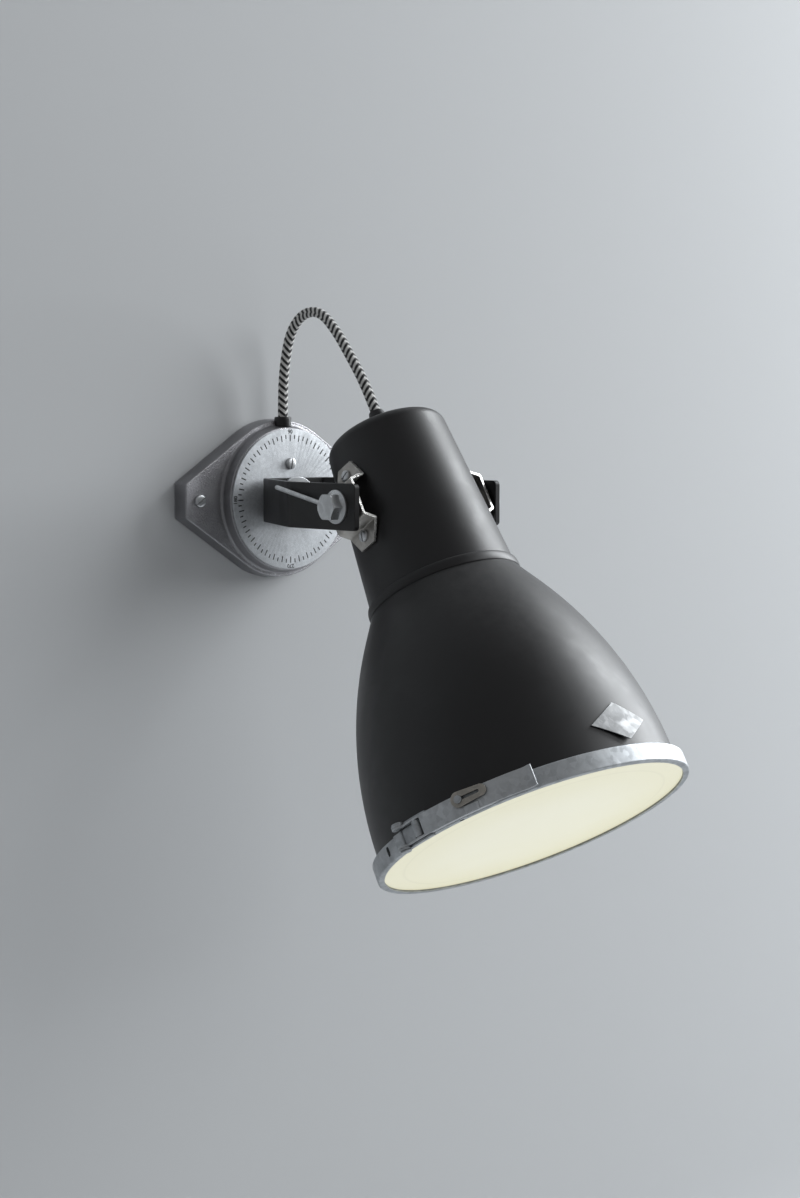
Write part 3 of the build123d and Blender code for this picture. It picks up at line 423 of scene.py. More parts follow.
class Graph:
    """Short ways to lay out one node tree."""

    def __init__(self, tree: bpy.types.NodeTree) -> None:
        """Wrap a node tree."""
        self.tree = tree

    def node(self, kind: str, **settings: object) -> bpy.types.Node:
        """Add a node and set its properties.

        Args:
            kind: the node's type without the ShaderNode prefix.
            **settings: properties by name.

        Returns:
            The new node.
        """
        added = self.tree.nodes.new(f"ShaderNode{kind}")
        for name, value in settings.items():
            setattr(added, name, value)
        return added

    def feed(self, target: Socket, value: Socket | float | Sequence[float]) -> None:
        """Link a socket to an input, or set the input's value.

        Args:
            target: the input.
            value: the socket or the value that goes in.
        """
        if isinstance(value, bpy.types.NodeSocket):
            self.tree.links.new(value, target)
        else:
            target.default_value = value

    def math(self, operation: str, first: Socket | float, second: Socket | float = 0.0,
             clamp: bool = False) -> Socket:
        """Add a Math node.

        Args:
            operation: the node's operation.
            first: first operand.
            second: second operand.
            clamp: whether the result stays from 0 to 1.

        Returns:
            The result.
        """
        added = self.node("Math", operation=operation, use_clamp=clamp)
        self.feed(added.inputs[0], first)
        self.feed(added.inputs[1], second)
        return added.outputs[0]

    def times(self, first: Socket | float, second: Socket | float) -> Socket:
        """Product of two numbers."""
        return self.math("MULTIPLY", first, second)

    def vector(self, operation: str, first: Socket, second: Socket | Sequence[float]) -> Socket:
        """Add a Vector Math node.

        Args:
            operation: the node's operation.
            first: first operand.
            second: second operand.

        Returns:
            The result, a number for a dot product or a length.
        """
        added = self.node("VectorMath", operation=operation)
        self.feed(added.inputs[0], first)
        self.feed(added.inputs[1], second)
        return added.outputs["Value" if operation in ("DOT_PRODUCT", "LENGTH") else "Vector"]

    def millimetres(self) -> Socket:
        """Object coordinates in millimetres."""
        place = self.node("TexCoord").outputs["Object"]
        return self.vector("MULTIPLY", place, (1 / MM, 1 / MM, 1 / MM))

    def split(self, vector: Socket) -> tuple[Socket, Socket, Socket]:
        """The three parts of a vector."""
        added = self.node("SeparateXYZ")
        self.feed(added.inputs[0], vector)
        return added.outputs[0], added.outputs[1], added.outputs[2]

    def combine(self, x: Socket | float, y: Socket | float, z: Socket | float) -> Socket:
        """Join three parts into a vector.

        Args:
            x: first part.
            y: second part.
            z: third part.

        Returns:
            The vector.
        """
        added = self.node("CombineXYZ")
        for target, value in zip(added.inputs, (x, y, z)):
            self.feed(target, value)
        return added.outputs[0]

    def noise(self, vector: Socket, scale: Socket | float, detail: float = 3.0,
              roughness: float = 0.5, distortion: float = 0.0) -> Socket:
        """Add a Noise texture.

        Args:
            vector: where it is looked up.
            scale: its frequency, per unit of the vector.
            detail: octaves.
            roughness: weight of the finer octaves.
            distortion: warp of the lookup.

        Returns:
            The noise, about 0.5.
        """
        added = self.node("TexNoise", noise_dimensions="3D")
        self.feed(added.inputs["Vector"], vector)
        self.feed(added.inputs["Scale"], scale)
        self.feed(added.inputs["Detail"], detail)
        self.feed(added.inputs["Roughness"], roughness)
        self.feed(added.inputs["Distortion"], distortion)
        return added.outputs["Fac"]

    def remap(self, value: Socket, low: Socket | float, high: Socket | float,
              to_low: Socket | float = 0.0, to_high: Socket | float = 1.0) -> Socket:
        """Add a Map Range node with a smooth step.

        Args:
            value: the number to map.
            low: input that gives to_low.
            high: input that gives to_high.
            to_low: output at low.
            to_high: output at high.

        Returns:
            The mapped number.
        """
        added = self.node("MapRange", interpolation_type="SMOOTHSTEP", clamp=True)
        for target, number in zip(added.inputs, (value, low, high, to_low, to_high)):
            self.feed(target, number)
        return added.outputs[0]

    def mix(self, share: Socket | float, first: Socket | Colour, second: Socket | Colour) -> Socket:
        """Mix two colours.

        Args:
            share: weight of the second.
            first: first colour.
            second: second colour.

        Returns:
            The mixed colour.
        """
        added = self.node("Mix", data_type="RGBA")
        self.feed(added.inputs["Factor"], share)
        for target, value in ((added.inputs[6], first), (added.inputs[7], second)):
            if isinstance(value, bpy.types.NodeSocket):
                self.feed(target, value)
            else:
                target.default_value = (*value, 1.0)
        return added.outputs[2]

    def bump(self, height: Socket, distance: float, strength: Socket | float = 1.0) -> Socket:
        """Add a Bump node.

        Args:
            height: height in its own unit.
            distance: metres for a height of 1.
            strength: weight of the effect.

        Returns:
            The bent normal.
        """
        added = self.node("Bump")
        self.feed(added.inputs["Height"], height)
        self.feed(added.inputs["Distance"], distance)
        self.feed(added.inputs["Strength"], strength)
        return added.outputs["Normal"]


class Group(Graph):
    """A shader node group with named inputs and outputs."""

    def __init__(self, name: str, inputs: dict[str, float], outputs: Sequence[str]) -> None:
        """Make the group and its sockets.

        Args:
            name: the group's name.
            inputs: number sockets and their usual values.
            outputs: number sockets.
        """
        super().__init__(bpy.data.node_groups.new(name, "ShaderNodeTree"))
        for label, usual in inputs.items():
            made = self.tree.interface.new_socket(label, in_out="INPUT", socket_type="NodeSocketFloat")
            made.default_value = usual
        for label in outputs:
            self.tree.interface.new_socket(label, in_out="OUTPUT", socket_type="NodeSocketFloat")
        self.entry = self.tree.nodes.new("NodeGroupInput")
        self.exit = self.tree.nodes.new("NodeGroupOutput")

    def __getitem__(self, label: str) -> Socket:
        """One of the group's inputs, as seen inside it."""
        return self.entry.outputs[label]

    def give(self, label: str, value: Socket) -> None:
        """Send a value to one of the group's outputs."""
        self.tree.links.new(value, self.exit.inputs[label])


class Effects:
    """The surface effects that several finishes share."""

    def __init__(self) -> None:
        """Build each group once."""
        self.edge_wear = self._edge_wear()
        self.crevice = self._crevice()
        self.grain = self._grain()
        self.smudge = self._smudge()
        self.spangle = self._spangle()
        self.scratches = self._scratches()
        self.dust = self._dust()
        self.lathe_lines = self._lathe_lines()
        self.braid = self._braid()

    @staticmethod
    def _edge_wear() -> Group:
        """Build the mask of a piece's hard edges, broken up by noise, for rubbed edges and painted highlights.

        Returns:
            The group.
        """
        group = Group("edge_wear", {"Radius mm": 0.6, "Breakup mm": 2.0, "Breakup": 0.5}, ["Mask"])
        bevel = group.node("Bevel", samples=4)
        group.feed(bevel.inputs["Radius"], group.times(group["Radius mm"], MM))
        normal = group.node("NewGeometry").outputs["Normal"]
        turn = group.math("SUBTRACT", 1.0, group.vector("DOT_PRODUCT", bevel.outputs[0], normal))
        edge = group.remap(turn, 0.02, 0.2)
        scale = group.math("DIVIDE", 1.0, group["Breakup mm"])
        patches = group.remap(group.noise(group.millimetres(), scale, 4.0, 0.6), 0.42, 0.62)
        kept = group.math("SUBTRACT", 1.0, group.times(group["Breakup"], patches))
        group.give("Mask", group.math("MULTIPLY", edge, kept, clamp=True))
        return group

    @staticmethod
    def _crevice() -> Group:
        """Build the mask of corners and gaps where shade falls, from ambient occlusion, for painted shade.

        Returns:
            The group.
        """
        group = Group("crevice", {"Reach mm": 1.6}, ["Mask"])
        shade = group.node("AmbientOcclusion", samples=6)
        group.feed(shade.inputs["Distance"], group.times(group["Reach mm"], MM))
        group.give("Mask", group.remap(shade.outputs["AO"], 0.3, 0.9, 1.0, 0.0))
        return group

    @staticmethod
    def _grain() -> Group:
        """Build the sandy grain of a cast or blasted surface.

        Returns:
            The group.
        """
        group = Group("grain", {"Grain mm": 0.5}, ["Height", "Sparkle"])
        place = group.millimetres()
        scale = group.math("DIVIDE", 1.0, group["Grain mm"])
        coarse = group.noise(place, scale, 2.0, 0.6)
        fine = group.noise(place, group.times(scale, 2.7), 2.0, 0.6)
        group.give("Height", group.math("ADD", coarse, group.times(fine, 0.5)))
        group.give("Sparkle", group.remap(fine, 0.52, 0.68))
        return group

    @staticmethod
    def _smudge() -> Group:
        """Build the soft patches of a surface that has been handled.

        Returns:
            The group.
        """
        group = Group("smudge", {"Patch mm": 30.0}, ["Mask"])
        scale = group.math("DIVIDE", 1.0, group["Patch mm"])
        patches = group.noise(group.millimetres(), scale, 5.0, 0.55, 0.6)
        group.give("Mask", group.remap(patches, 0.35, 0.7))
        return group

    @staticmethod
    def _spangle() -> Group:
        """Build the crystals of a zinc coating: a level for each and its borders.

        Returns:
            The group.
        """
        group = Group("spangle", {"Crystal mm": 5.0}, ["Level", "Border"])
        place = group.millimetres()
        warp = group.node("TexNoise")
        group.feed(warp.inputs["Vector"], place)
        group.feed(warp.inputs["Scale"], 0.35)
        group.feed(warp.inputs["Detail"], 3.0)
        sway = group.vector("MULTIPLY", warp.outputs["Color"], (3.0, 3.0, 3.0))
        bent = group.vector("ADD", place, sway)
        scale = group.math("DIVIDE", 1.0, group["Crystal mm"])
        cells = group.node("TexVoronoi", feature="F1")
        group.feed(cells.inputs["Vector"], bent)
        group.feed(cells.inputs["Scale"], scale)
        red, _, _ = group.split(cells.outputs["Color"])
        group.give("Level", red)
        borders = group.node("TexVoronoi", feature="DISTANCE_TO_EDGE")
        group.feed(borders.inputs["Vector"], bent)
        group.feed(borders.inputs["Scale"], scale)
        group.give("Border", group.remap(borders.outputs["Distance"], 0.0, 0.12, 1.0, 0.0))
        return group

    @staticmethod
    def _scratches() -> Group:
        """Build the fine hairline marks that run in two directions.

        Returns:
            The group.
        """
        group = Group("scratches", {"Length mm": 12.0}, ["Mask"])
        x, y, z = group.split(group.millimetres())
        lines: Socket | None = None
        for lean, stretch in ((0.35, 9.0), (-0.8, 7.0)):
            across = group.math("ADD", x, group.times(z, lean))
            along = group.math("SUBTRACT", z, group.times(x, lean))
            along = group.math("DIVIDE", along, group["Length mm"])
            place = group.combine(group.times(across, stretch / 5), y, along)
            hair = group.remap(group.noise(place, 1.0, 2.0, 0.7), 0.66, 0.74)
            lines = hair if lines is None else group.math("MAXIMUM", lines, hair)
        group.give("Mask", lines)
        return group

    @staticmethod
    def _dust() -> Group:
        """Build the thin dust on what faces up at rest.

        Returns:
            The group.
        """
        group = Group("dust", {"Patch mm": 9.0}, ["Mask"])
        _, _, up = group.split(group.node("NewGeometry").outputs["Normal"])
        lying = group.remap(up, 0.6, 0.98)
        scale = group.math("DIVIDE", 1.0, group["Patch mm"])
        patches = group.remap(group.noise(group.millimetres(), scale, 6.0, 0.7), 0.3, 0.75)
        group.give("Mask", group.times(lying, patches))
        return group

    @staticmethod
    def _lathe_lines() -> Group:
        """Build the fine turned lines about the piece's own Z axis.

        Returns:
            The group.
        """
        group = Group("lathe_lines", {"Pitch mm": 0.25}, ["Height"])
        x, y, _ = group.split(group.millimetres())
        radius = group.vector("LENGTH", group.combine(x, y, 0.0), (0.0, 0.0, 0.0))
        rings = group.combine(group.math("DIVIDE", radius, group["Pitch mm"]), 0.0, 0.0)
        group.give("Height", group.noise(rings, 1.0, 2.0, 0.6))
        return group

    @staticmethod
    def _braid() -> Group:
        """Build the braid's zigzag colour and thread, from the cord's unwrapped coordinates.

        Returns:
            The group.
        """
        group = Group("braid", {"Zigzags": 2.0, "Rise": 0.9, "Threads": 7.0}, ["White", "Thread"])
        around, along, _ = group.split(group.node("TexCoord").outputs["UV"])
        wave = group.math("PINGPONG", group.times(around, group["Zigzags"]), 0.5)
        rise = group.times(group["Rise"], 2.0)
        phase = group.math("ADD", along, group.times(wave, rise))
        beat = group.math("FRACT", phase)
        group.give("White", group.remap(group.math("PINGPONG", beat, 0.5), 0.22, 0.28))
        thread = group.math("FRACT", group.times(phase, group["Threads"]))
        group.give("Thread", group.math("PINGPONG", thread, 0.5))
        return group


# ---- finishes ----

def tint(colour: Colour, factor: float) -> Colour:
    """A colour made lighter or darker."""
    return tuple(min(1.0, part * factor) for part in colour)


class Surface(Graph):
    """The node tree of one material, with its shader and the shared effects."""

    def __init__(self, name: str, effects: Effects) -> None:
        """Make the material.

        Args:
            name: the material's name.
            effects: the shared node groups.
        """
        self.material = bpy.data.materials.new(name)
        self.material.use_nodes = True
        super().__init__(self.material.node_tree)
        self.shader = self.tree.nodes["Principled BSDF"]
        self.effects = effects

    def give(self, label: str, value: Socket | float | Sequence[float]) -> None:
        """Link or set one of the shader's inputs."""
        self.feed(self.shader.inputs[label], value)

    def effect(self, name: str, **values: float) -> bpy.types.bpy_prop_collection:
        """Place a shared effect.

        Args:
            name: the effect, as Effects names it.
            **values: its inputs, with underscores for spaces.

        Returns:
            The outputs of its group node.
        """
        added = self.node("Group", node_tree=getattr(self.effects, name).tree)
        for label, value in values.items():
            added.inputs[label.replace("_", " ")].default_value = value
        return added.outputs


@dataclass(frozen=True)
class Finish:
    """A material: its even values, and how its surface varies.

    A span holds a value outside the soft patches and one inside them.
    """

    slot: Slot
    colour: Colour
    roughness: float
    metallic: float = 0.0
    specular: float = 0.5
    patch_mm: float = 8.0
    shade_span: Span = (0.86, 1.08)
    rough_span: Span = (0.08, -0.05)

    def build(self, effects: Effects) -> bpy.types.Material:
        """Make the material.

        Args:
            effects: the shared node groups.

        Returns:
            The material, named after its slot.
        """
        surface = Surface(f"{self.slot.value}_finish", effects)
        surface.give("Base Color", (*self.colour, 1.0))
        surface.give("Roughness", self.roughness)
        surface.give("Metallic", self.metallic)
        surface.give("Specular IOR Level", self.specular)
        self.vary(surface)
        return surface.material

    def vary(self, surface: Surface) -> None:
        """Add what changes over the surface; the plain finish has nothing."""

    def patches(self, surface: Surface) -> Socket:
        """Mask of the soft patches."""
        return surface.effect("smudge", Patch_mm=self.patch_mm)["Mask"]

    def patchy_colour(self, surface: Surface, mask: Socket) -> Socket:
        """The colour, darker or lighter by a mask."""
        return surface.mix(mask, *(tint(self.colour, shade) for shade in self.shade_span))

    def patchy_gloss(self, surface: Surface, mask: Socket) -> Socket:
        """The roughness, duller or glossier by a mask."""
        return surface.remap(mask, 0.0, 1.0, *(self.roughness + change for change in self.rough_span))


@dataclass(frozen=True)
class CastMetal(Finish):
    """Bare cast aluminium: sandy on its faces, smoother on its drawn walls."""

    patch_mm: float = 16.0
    shade_span: Span = (0.88, 1.12)
    rough_span: Span = (-0.06, 0.06)
    facing: Span = (0.8, 0.97)
    wall_share: float = 0.12
    sand_mm: float = 1.25
    sand_depth: float = 0.0006
    sparkle_gain: float = 2.4
    sparkle_gloss: float = 0.15
    # Weight and tint of the painted highlight on the edges.
    edge_share: float = 0.9
    edge_gain: float = 3.0

    def vary(self, surface: Surface) -> None:
        """Sand on the front faces, soft patches everywhere and a painted highlight along the open edges.

        Args:
            surface: the material's graph.
        """
        _, out, _ = surface.split(surface.node("NewGeometry").outputs["Normal"])
        front = surface.remap(surface.math("ABSOLUTE", out), *self.facing, self.wall_share, 1.0)
        grain = surface.effect("grain", Grain_mm=self.sand_mm)
        patches = self.patches(surface)
        # The lighter open edges are a painted highlight; the ambient-occlusion mask keeps it off concave edges.
        wear_and_highlight = surface.effect("edge_wear", Radius_mm=2.0, Breakup_mm=1.2, Breakup=0.35)["Mask"]
        crevice = surface.effect("crevice", Reach_mm=4.0)["Mask"]
        open_edge = surface.times(wear_and_highlight, surface.math("SUBTRACT", 1.0, crevice, clamp=True))
        sparkle = surface.times(grain["Sparkle"], front)
        lit, bare_and_lit_edge = tint(self.colour, self.sparkle_gain), tint(self.colour, self.edge_gain)
        sanded = surface.mix(sparkle, self.patchy_colour(surface, patches), lit)
        edged = surface.mix(surface.times(open_edge, self.edge_share), sanded, bare_and_lit_edge)
        rough = self.patchy_gloss(surface, patches)
        surface.give("Base Color", edged)
        surface.give("Roughness", surface.math("SUBTRACT", rough, surface.times(sparkle, self.sparkle_gloss)))
        surface.give("Normal", surface.bump(grain["Height"], self.sand_depth, front))


@dataclass(frozen=True)
class BlastedMetal(Finish):
    """Fine blasted metal with blotches."""

    patch_mm: float = 14.0
    blotch_mm: float = 2.2
    grain_mm: float = 0.35
    grain_depth: float = 0.00008
    sparkle_share: float = 0.5
    sparkle_gain: float = 1.25

    def vary(self, surface: Surface) -> None:
        """Fine grain, small blotches and wide patches.

        Args:
            surface: the material's graph.
        """
        grain = surface.effect("grain", Grain_mm=self.grain_mm)
        blotch = surface.effect("smudge", Patch_mm=self.blotch_mm)["Mask"]
        both = surface.times(surface.math("ADD", blotch, self.patches(surface)), 0.5)
        sparkle = surface.times(grain["Sparkle"], self.sparkle_share)
        lit = tint(self.colour, self.sparkle_gain)
        surface.give("Base Color", surface.mix(sparkle, self.patchy_colour(surface, both), lit))
        surface.give("Roughness", self.patchy_gloss(surface, both))
        surface.give("Normal", surface.bump(grain["Height"], self.grain_depth))


@dataclass(frozen=True)
class PlatedMetal(Finish):
    """Zinc-plated steel with soft patches, hairlines, brighter edges that are partly a painted highlight, and
    painted shade in its corners.
    """

    patch_mm: float = 6.0
    edge_mm: float = 0.35
    edge_patch_mm: float = 1.2
    edge_breakup: float = 0.5
    edge_share: float = 0.7
    edge_gain: float = 1.35
    # Reach, weight and tint of the painted shade in the crevices.
    grime_mm: float = 1.6
    grime_share: float = 0.6
    grime_shade: float = 0.15
    hair_mm: float = 9.0
    hair_dulling: float = 0.12
    hair_depth: float = -0.00001

    def vary(self, surface: Surface) -> None:
        """Patches in colour and gloss, hairlines, bright edges that are partly a painted highlight, and painted
        shade in the corners.

        Args:
            surface: the material's graph.
        """
        patches = self.patches(surface)
        hairs = self.hairs(surface)
        surface.give("Base Color", self.aged(surface, self.patchy_colour(surface, patches)))
        surface.give("Roughness", self.haired(surface, self.patchy_gloss(surface, patches), hairs))
        surface.give("Normal", surface.bump(hairs, self.hair_depth))

    def hairs(self, surface: Surface) -> Socket:
        """Mask of the hairlines."""
        return surface.effect("scratches", Length_mm=self.hair_mm)["Mask"]

    def haired(self, surface: Surface, rough: Socket, hairs: Socket) -> Socket:
        """The roughness, duller along the hairlines."""
        return surface.math("ADD", rough, surface.times(hairs, self.hair_dulling))

    def aged(self, surface: Surface, base: Socket) -> Socket:
        """A clean colour with lighter edges, partly rubbed metal and partly a painted highlight, and painted
        shade in the crevices.

        Args:
            surface: the material's graph.
            base: the clean colour.

        Returns:
            The colour with its lighter edges and shaded crevices.
        """
        # Lighter edges: partly rubbed metal, partly a painted highlight.
        wear_and_highlight = surface.effect("edge_wear", Radius_mm=self.edge_mm, Breakup_mm=self.edge_patch_mm,
                              Breakup=self.edge_breakup)["Mask"]
        # Ambient occlusion finds the crevices, which are darkened: painted shade.
        crevice = surface.effect("crevice", Reach_mm=self.grime_mm)["Mask"]
        bare_and_lit_edge, crevice_shade_colour = tint(self.colour, self.edge_gain), tint(self.colour, self.grime_shade)
        edged = surface.mix(surface.times(wear_and_highlight, self.edge_share), base, bare_and_lit_edge)
        return surface.mix(surface.times(crevice, self.grime_share), edged, crevice_shade_colour)


@dataclass(frozen=True)
class Galvanised(PlatedMetal):
    """Galvanised sheet: faint crystals, soft patches and brighter edges."""

    patch_mm: float = 9.0
    shade_span: Span = (0.8, 1.12)
    rough_span: Span = (0.09, -0.08)
    # Lighter edges: partly rubbed zinc, partly a painted highlight.
    edge_mm: float = 0.45
    edge_patch_mm: float = 1.8
    edge_breakup: float = 0.3
    edge_share: float = 0.8
    edge_gain: float = 1.7
    # Reach, weight and tint of the painted shade in the crevices.
    grime_mm: float = 3.0
    grime_share: float = 0.9
    grime_shade: float = 0.12
    hair_mm: float = 14.0
    hair_dulling: float = 0.1
    crystal_mm: float = 4.0
    crystal_share: float = 0.55
    border_height: float = -0.15
    relief: float = 0.00004

    def vary(self, surface: Surface) -> None:
        """Crystals in colour and gloss, patches, hairlines, bright edges and painted shade in the crevices.

        Args:
            surface: the material's graph.
        """
        spangle = surface.effect("spangle", Crystal_mm=self.crystal_mm)
        patches = self.patches(surface)
        level = surface.math("ADD", surface.times(spangle["Level"], self.crystal_share),
                             surface.times(patches, 1 - self.crystal_share))
        height = surface.math("ADD", patches, surface.times(spangle["Border"], self.border_height))
        surface.give("Base Color", self.aged(surface, self.patchy_colour(surface, level)))
        rough = self.patchy_gloss(surface, level)
        surface.give("Roughness", self.haired(surface, rough, self.hairs(surface)))
        surface.give("Normal", surface.bump(height, self.relief))


@dataclass(frozen=True)
class CutStrip(Finish):
    """Warm grey zinc strip whose sheared edges are uncoated metal, made near white by a painted highlight."""

    patch_mm: float = 7.0
    shade_span: Span = (0.85, 1.12)
    rough_span: Span = (0.07, -0.05)
    edge_colour: Colour = (0.9, 0.89, 0.86)
    edge_facing: Span = (0.5, 0.8)
    edge_gloss: float = 0.1
    hair_mm: float = 10.0
    hair_depth: float = -0.000012

    def vary(self, surface: Surface) -> None:
        """Soft patches on the faces, and uncoated metal lightened by a painted highlight on the sheared edges.

        Args:
            surface: the material's graph.
        """
        _, across, _ = surface.split(surface.node("TexCoord").outputs["Normal"])
        sheared = surface.remap(surface.math("ABSOLUTE", across), *self.edge_facing)
        patches = self.patches(surface)
        hairs = surface.effect("scratches", Length_mm=self.hair_mm)["Mask"]
        rough = self.patchy_gloss(surface, patches)
        faces = self.patchy_colour(surface, patches)
        # Near-white sheared edges: partly uncoated metal, partly a painted highlight.
        surface.give("Base Color", surface.mix(sheared, faces, self.edge_colour))
        surface.give("Roughness", surface.math("SUBTRACT", rough, surface.times(sheared, self.edge_gloss)))
        surface.give("Normal", surface.bump(hairs, self.hair_depth))


@dataclass(frozen=True)
class Paint(Finish):
    """Sprayed paint with a fine peel, handling marks and a little dust."""

    patch_mm: float = 34.0
    shade_span: Span = (0.92, 1.1)
    rough_span: Span = (0.03, -0.03)
    peel_mm: float = 0.9
    peel_depth: float = 0.00001
    dust: float = 0.0
    dust_mm: float = 7.0
    dust_colour: Colour = (0.2, 0.195, 0.185)
    # Lighter edges: partly rubbed paint, partly a painted highlight.
    worn: float = 0.0
    worn_colour: Colour = (0.09, 0.09, 0.095)

    def vary(self, surface: Surface) -> None:
        """Gloss patches, peel, dust on top, and lighter edges that are partly rubbed paint and partly a painted
        highlight.

        Args:
            surface: the material's graph.
        """
        patches = self.patches(surface)
        dust = surface.times(surface.effect("dust", Patch_mm=self.dust_mm)["Mask"], self.dust)
        wear_and_highlight = surface.effect("edge_wear", Radius_mm=0.5, Breakup_mm=2.5, Breakup=0.7)["Mask"]
        grain = surface.effect("grain", Grain_mm=self.peel_mm)
        dusty = surface.mix(dust, self.patchy_colour(surface, patches), self.dust_colour)
        surface.give("Base Color", surface.mix(surface.times(wear_and_highlight, self.worn), dusty, self.worn_colour))
        surface.give("Roughness", surface.math("ADD", self.patchy_gloss(surface, patches), dust))
        surface.give("Normal", surface.bump(grain["Height"], self.peel_depth))


@dataclass(frozen=True)
class Moulded(Finish):
    """Moulded plastic, rubber or ceramic with a faint grain."""

    shade_span: Span = (0.9, 1.12)
    rough_span: Span = (0.05, -0.05)
    grain_mm: float = 0.8
    grain_depth: float = 0.00001

    def vary(self, surface: Surface) -> None:
        """Fine grain and soft gloss patches.

        Args:
            surface: the material's graph.
        """
        patches = self.patches(surface)
        height = surface.effect("grain", Grain_mm=self.grain_mm)["Height"]
        surface.give("Base Color", self.patchy_colour(surface, patches))
        surface.give("Roughness", self.patchy_gloss(surface, patches))
        surface.give("Normal", surface.bump(height, self.grain_depth))


@dataclass(frozen=True)
class TurnedMetal(Finish):
    """Turned metal with fine rings about its axis."""

    patch_mm: float = 5.0
    shade_span: Span = (0.85, 1.1)
    rough_span: Span = (0.06, -0.04)
    pitch_mm: float = 0.25
    ring_depth: float = 0.00002

    def vary(self, surface: Surface) -> None:
        """Turned rings and soft patches.

        Args:
            surface: the material's graph.
        """
        patches = self.patches(surface)
        height = surface.effect("lathe_lines", Pitch_mm=self.pitch_mm)["Height"]
        surface.give("Base Color", self.patchy_colour(surface, patches))
        surface.give("Roughness", self.patchy_gloss(surface, patches))
        surface.give("Normal", surface.bump(height, self.ring_depth))


@dataclass(frozen=True)
class LitOpal(Finish):
    """Opal glass lit from behind: pale in the middle and yellower at its edge."""

    patch_mm: float = 45.0
    patch_share: float = 0.1
    middle: Colour = (0.83, 0.82, 0.66)
    edge: Colour = (0.77, 0.745, 0.52)
    edge_share: float = 0.55
    edge_span_mm: Span = (40.0, 96.0)
    lean: Span = (0.8, -0.6)
    lean_share: float = 0.55
    lean_start: float = -0.4
    line_mm: float = 86.0
    line_half_mm: float = 1.6
    line_level: float = 0.95
    rim_mm: float = 98.5
    rim_fade_mm: float = 0.3
    strength: float = 1.0

    def vary(self, surface: Surface) -> None:
        """Glow that changes from the middle to the edge and ends at the rim.

        Args:
            surface: the material's graph.
        """
        x, y, _ = surface.split(surface.millimetres())
        radius = surface.vector("LENGTH", surface.combine(x, y, 0.0), (0.0, 0.0, 0.0))
        outer = self.edge_span_mm[1]
        share = surface.times(surface.remap(radius, *self.edge_span_mm), self.edge_share)
        share = surface.math("ADD", share, surface.times(self.patches(surface), self.patch_share))
        toward = surface.math("ADD", surface.times(x, self.lean[0]), surface.times(y, self.lean[1]))
        side = surface.remap(toward, outer * self.lean_start, outer, 0.0, self.lean_share)
        share = surface.math("ADD", share, side, clamp=True)
        off_line = surface.math("ABSOLUTE", surface.math("SUBTRACT", radius, self.line_mm))
        level = surface.remap(off_line, 0.0, self.line_half_mm, self.line_level, 1.0)
        lit = surface.remap(radius, self.rim_mm, self.rim_mm + self.rim_fade_mm, 1.0, 0.0)
        glow = surface.mix(surface.times(level, lit), UNLIT, surface.mix(share, self.middle, self.edge))
        surface.give("Emission Color", glow)
        surface.give("Emission Strength", self.strength)


@dataclass(frozen=True)
class BraidedYarn(Finish):
    """Black and white braided yarn."""

    white: Colour = (0.78, 0.77, 0.75)
    fuzz_mm: float = 0.25
    fuzz_height: float = 0.3
    relief: float = 0.00025
    groove_width: float = 0.18
    groove_share: float = 0.35
    groove_shade: float = 1.2
    sheen: float = 0.25

    def vary(self, surface: Surface) -> None:
        """Zigzag stripes with thread lines, painted shade in the grooves between threads, and fuzz.

        Args:
            surface: the material's graph.
        """
        braid = surface.effect("braid")
        fuzz = surface.times(surface.effect("grain", Grain_mm=self.fuzz_mm)["Height"], self.fuzz_height)
        stripes = surface.mix(braid["White"], self.colour, self.white)
        # The grooves between threads are darkened: painted shade.
        groove = surface.remap(braid["Thread"], 0.0, self.groove_width, 1.0, 0.0)
        shade = surface.times(groove, self.groove_share)
        surface.give("Base Color", surface.mix(shade, stripes, tint(self.colour, self.groove_shade)))
        surface.give("Normal", surface.bump(surface.math("ADD", braid["Thread"], fuzz), self.relief))
        surface.give("Sheen Weight", self.sheen)


FINISHES: tuple[Finish, ...] = (
    CastMetal(Slot.CASTING, (0.28, 0.277, 0.29), 0.44, metallic=0.9),
    BlastedMetal(Slot.DIAL, (0.66, 0.68, 0.705), 0.56, metallic=0.75),
    PlatedMetal(Slot.STEEL, (0.68, 0.695, 0.71), 0.32, metallic=0.9),
    Paint(Slot.BLACK_BAR, (0.0065, 0.006, 0.0065), 0.42, peel_depth=0.000006, worn=0.5),
    CutStrip(Slot.STRIP, (0.52, 0.50, 0.47), 0.36, metallic=0.85),
    Galvanised(Slot.GALVANISED, (0.50, 0.52, 0.54), 0.5, metallic=0.68),
    # A lighter copy of the galvanised finish for the lever, its pin, tab and lip edge: painted light.
    Galvanised(Slot.LATCH, (0.60, 0.62, 0.64), 0.46, metallic=0.75),
    Galvanised(Slot.CATCH, (0.47, 0.44, 0.395), 0.5, metallic=0.7),
    # A darker copy of the galvanised finish for the plate, which faces the key light: painted shade.
    Galvanised(Slot.BADGE, (0.34, 0.345, 0.35), 0.58, metallic=0.5),
    Paint(Slot.SHADE, (0.0042, 0.0036, 0.0046), 0.44, specular=0.62, dust=0.14, worn=0.2),
    Moulded(Slot.PLASTIC, (0.010, 0.010, 0.011), 0.42),
    TurnedMetal(Slot.BRASS, (0.72, 0.52, 0.25), 0.3, metallic=1.0),
    Moulded(Slot.CERAMIC, (0.78, 0.76, 0.70), 0.2, grain_depth=0.000004),
    PlatedMetal(Slot.LAMP_CAP, (0.62, 0.62, 0.60), 0.3, metallic=1.0),
    LitOpal(Slot.BULB, (0.9, 0.88, 0.82), 0.3, middle=(1.0, 0.93, 0.78), edge=(1.0, 0.9, 0.7),
            rim_mm=1000.0, strength=2.0),
    Moulded(Slot.RUBBER, (0.03, 0.03, 0.03), 0.7),
    LitOpal(Slot.LENS, (0.22, 0.215, 0.19), 0.25, strength=0.745),
    BraidedYarn(Slot.BRAID, (0.012, 0.012, 0.013), 0.85),
)


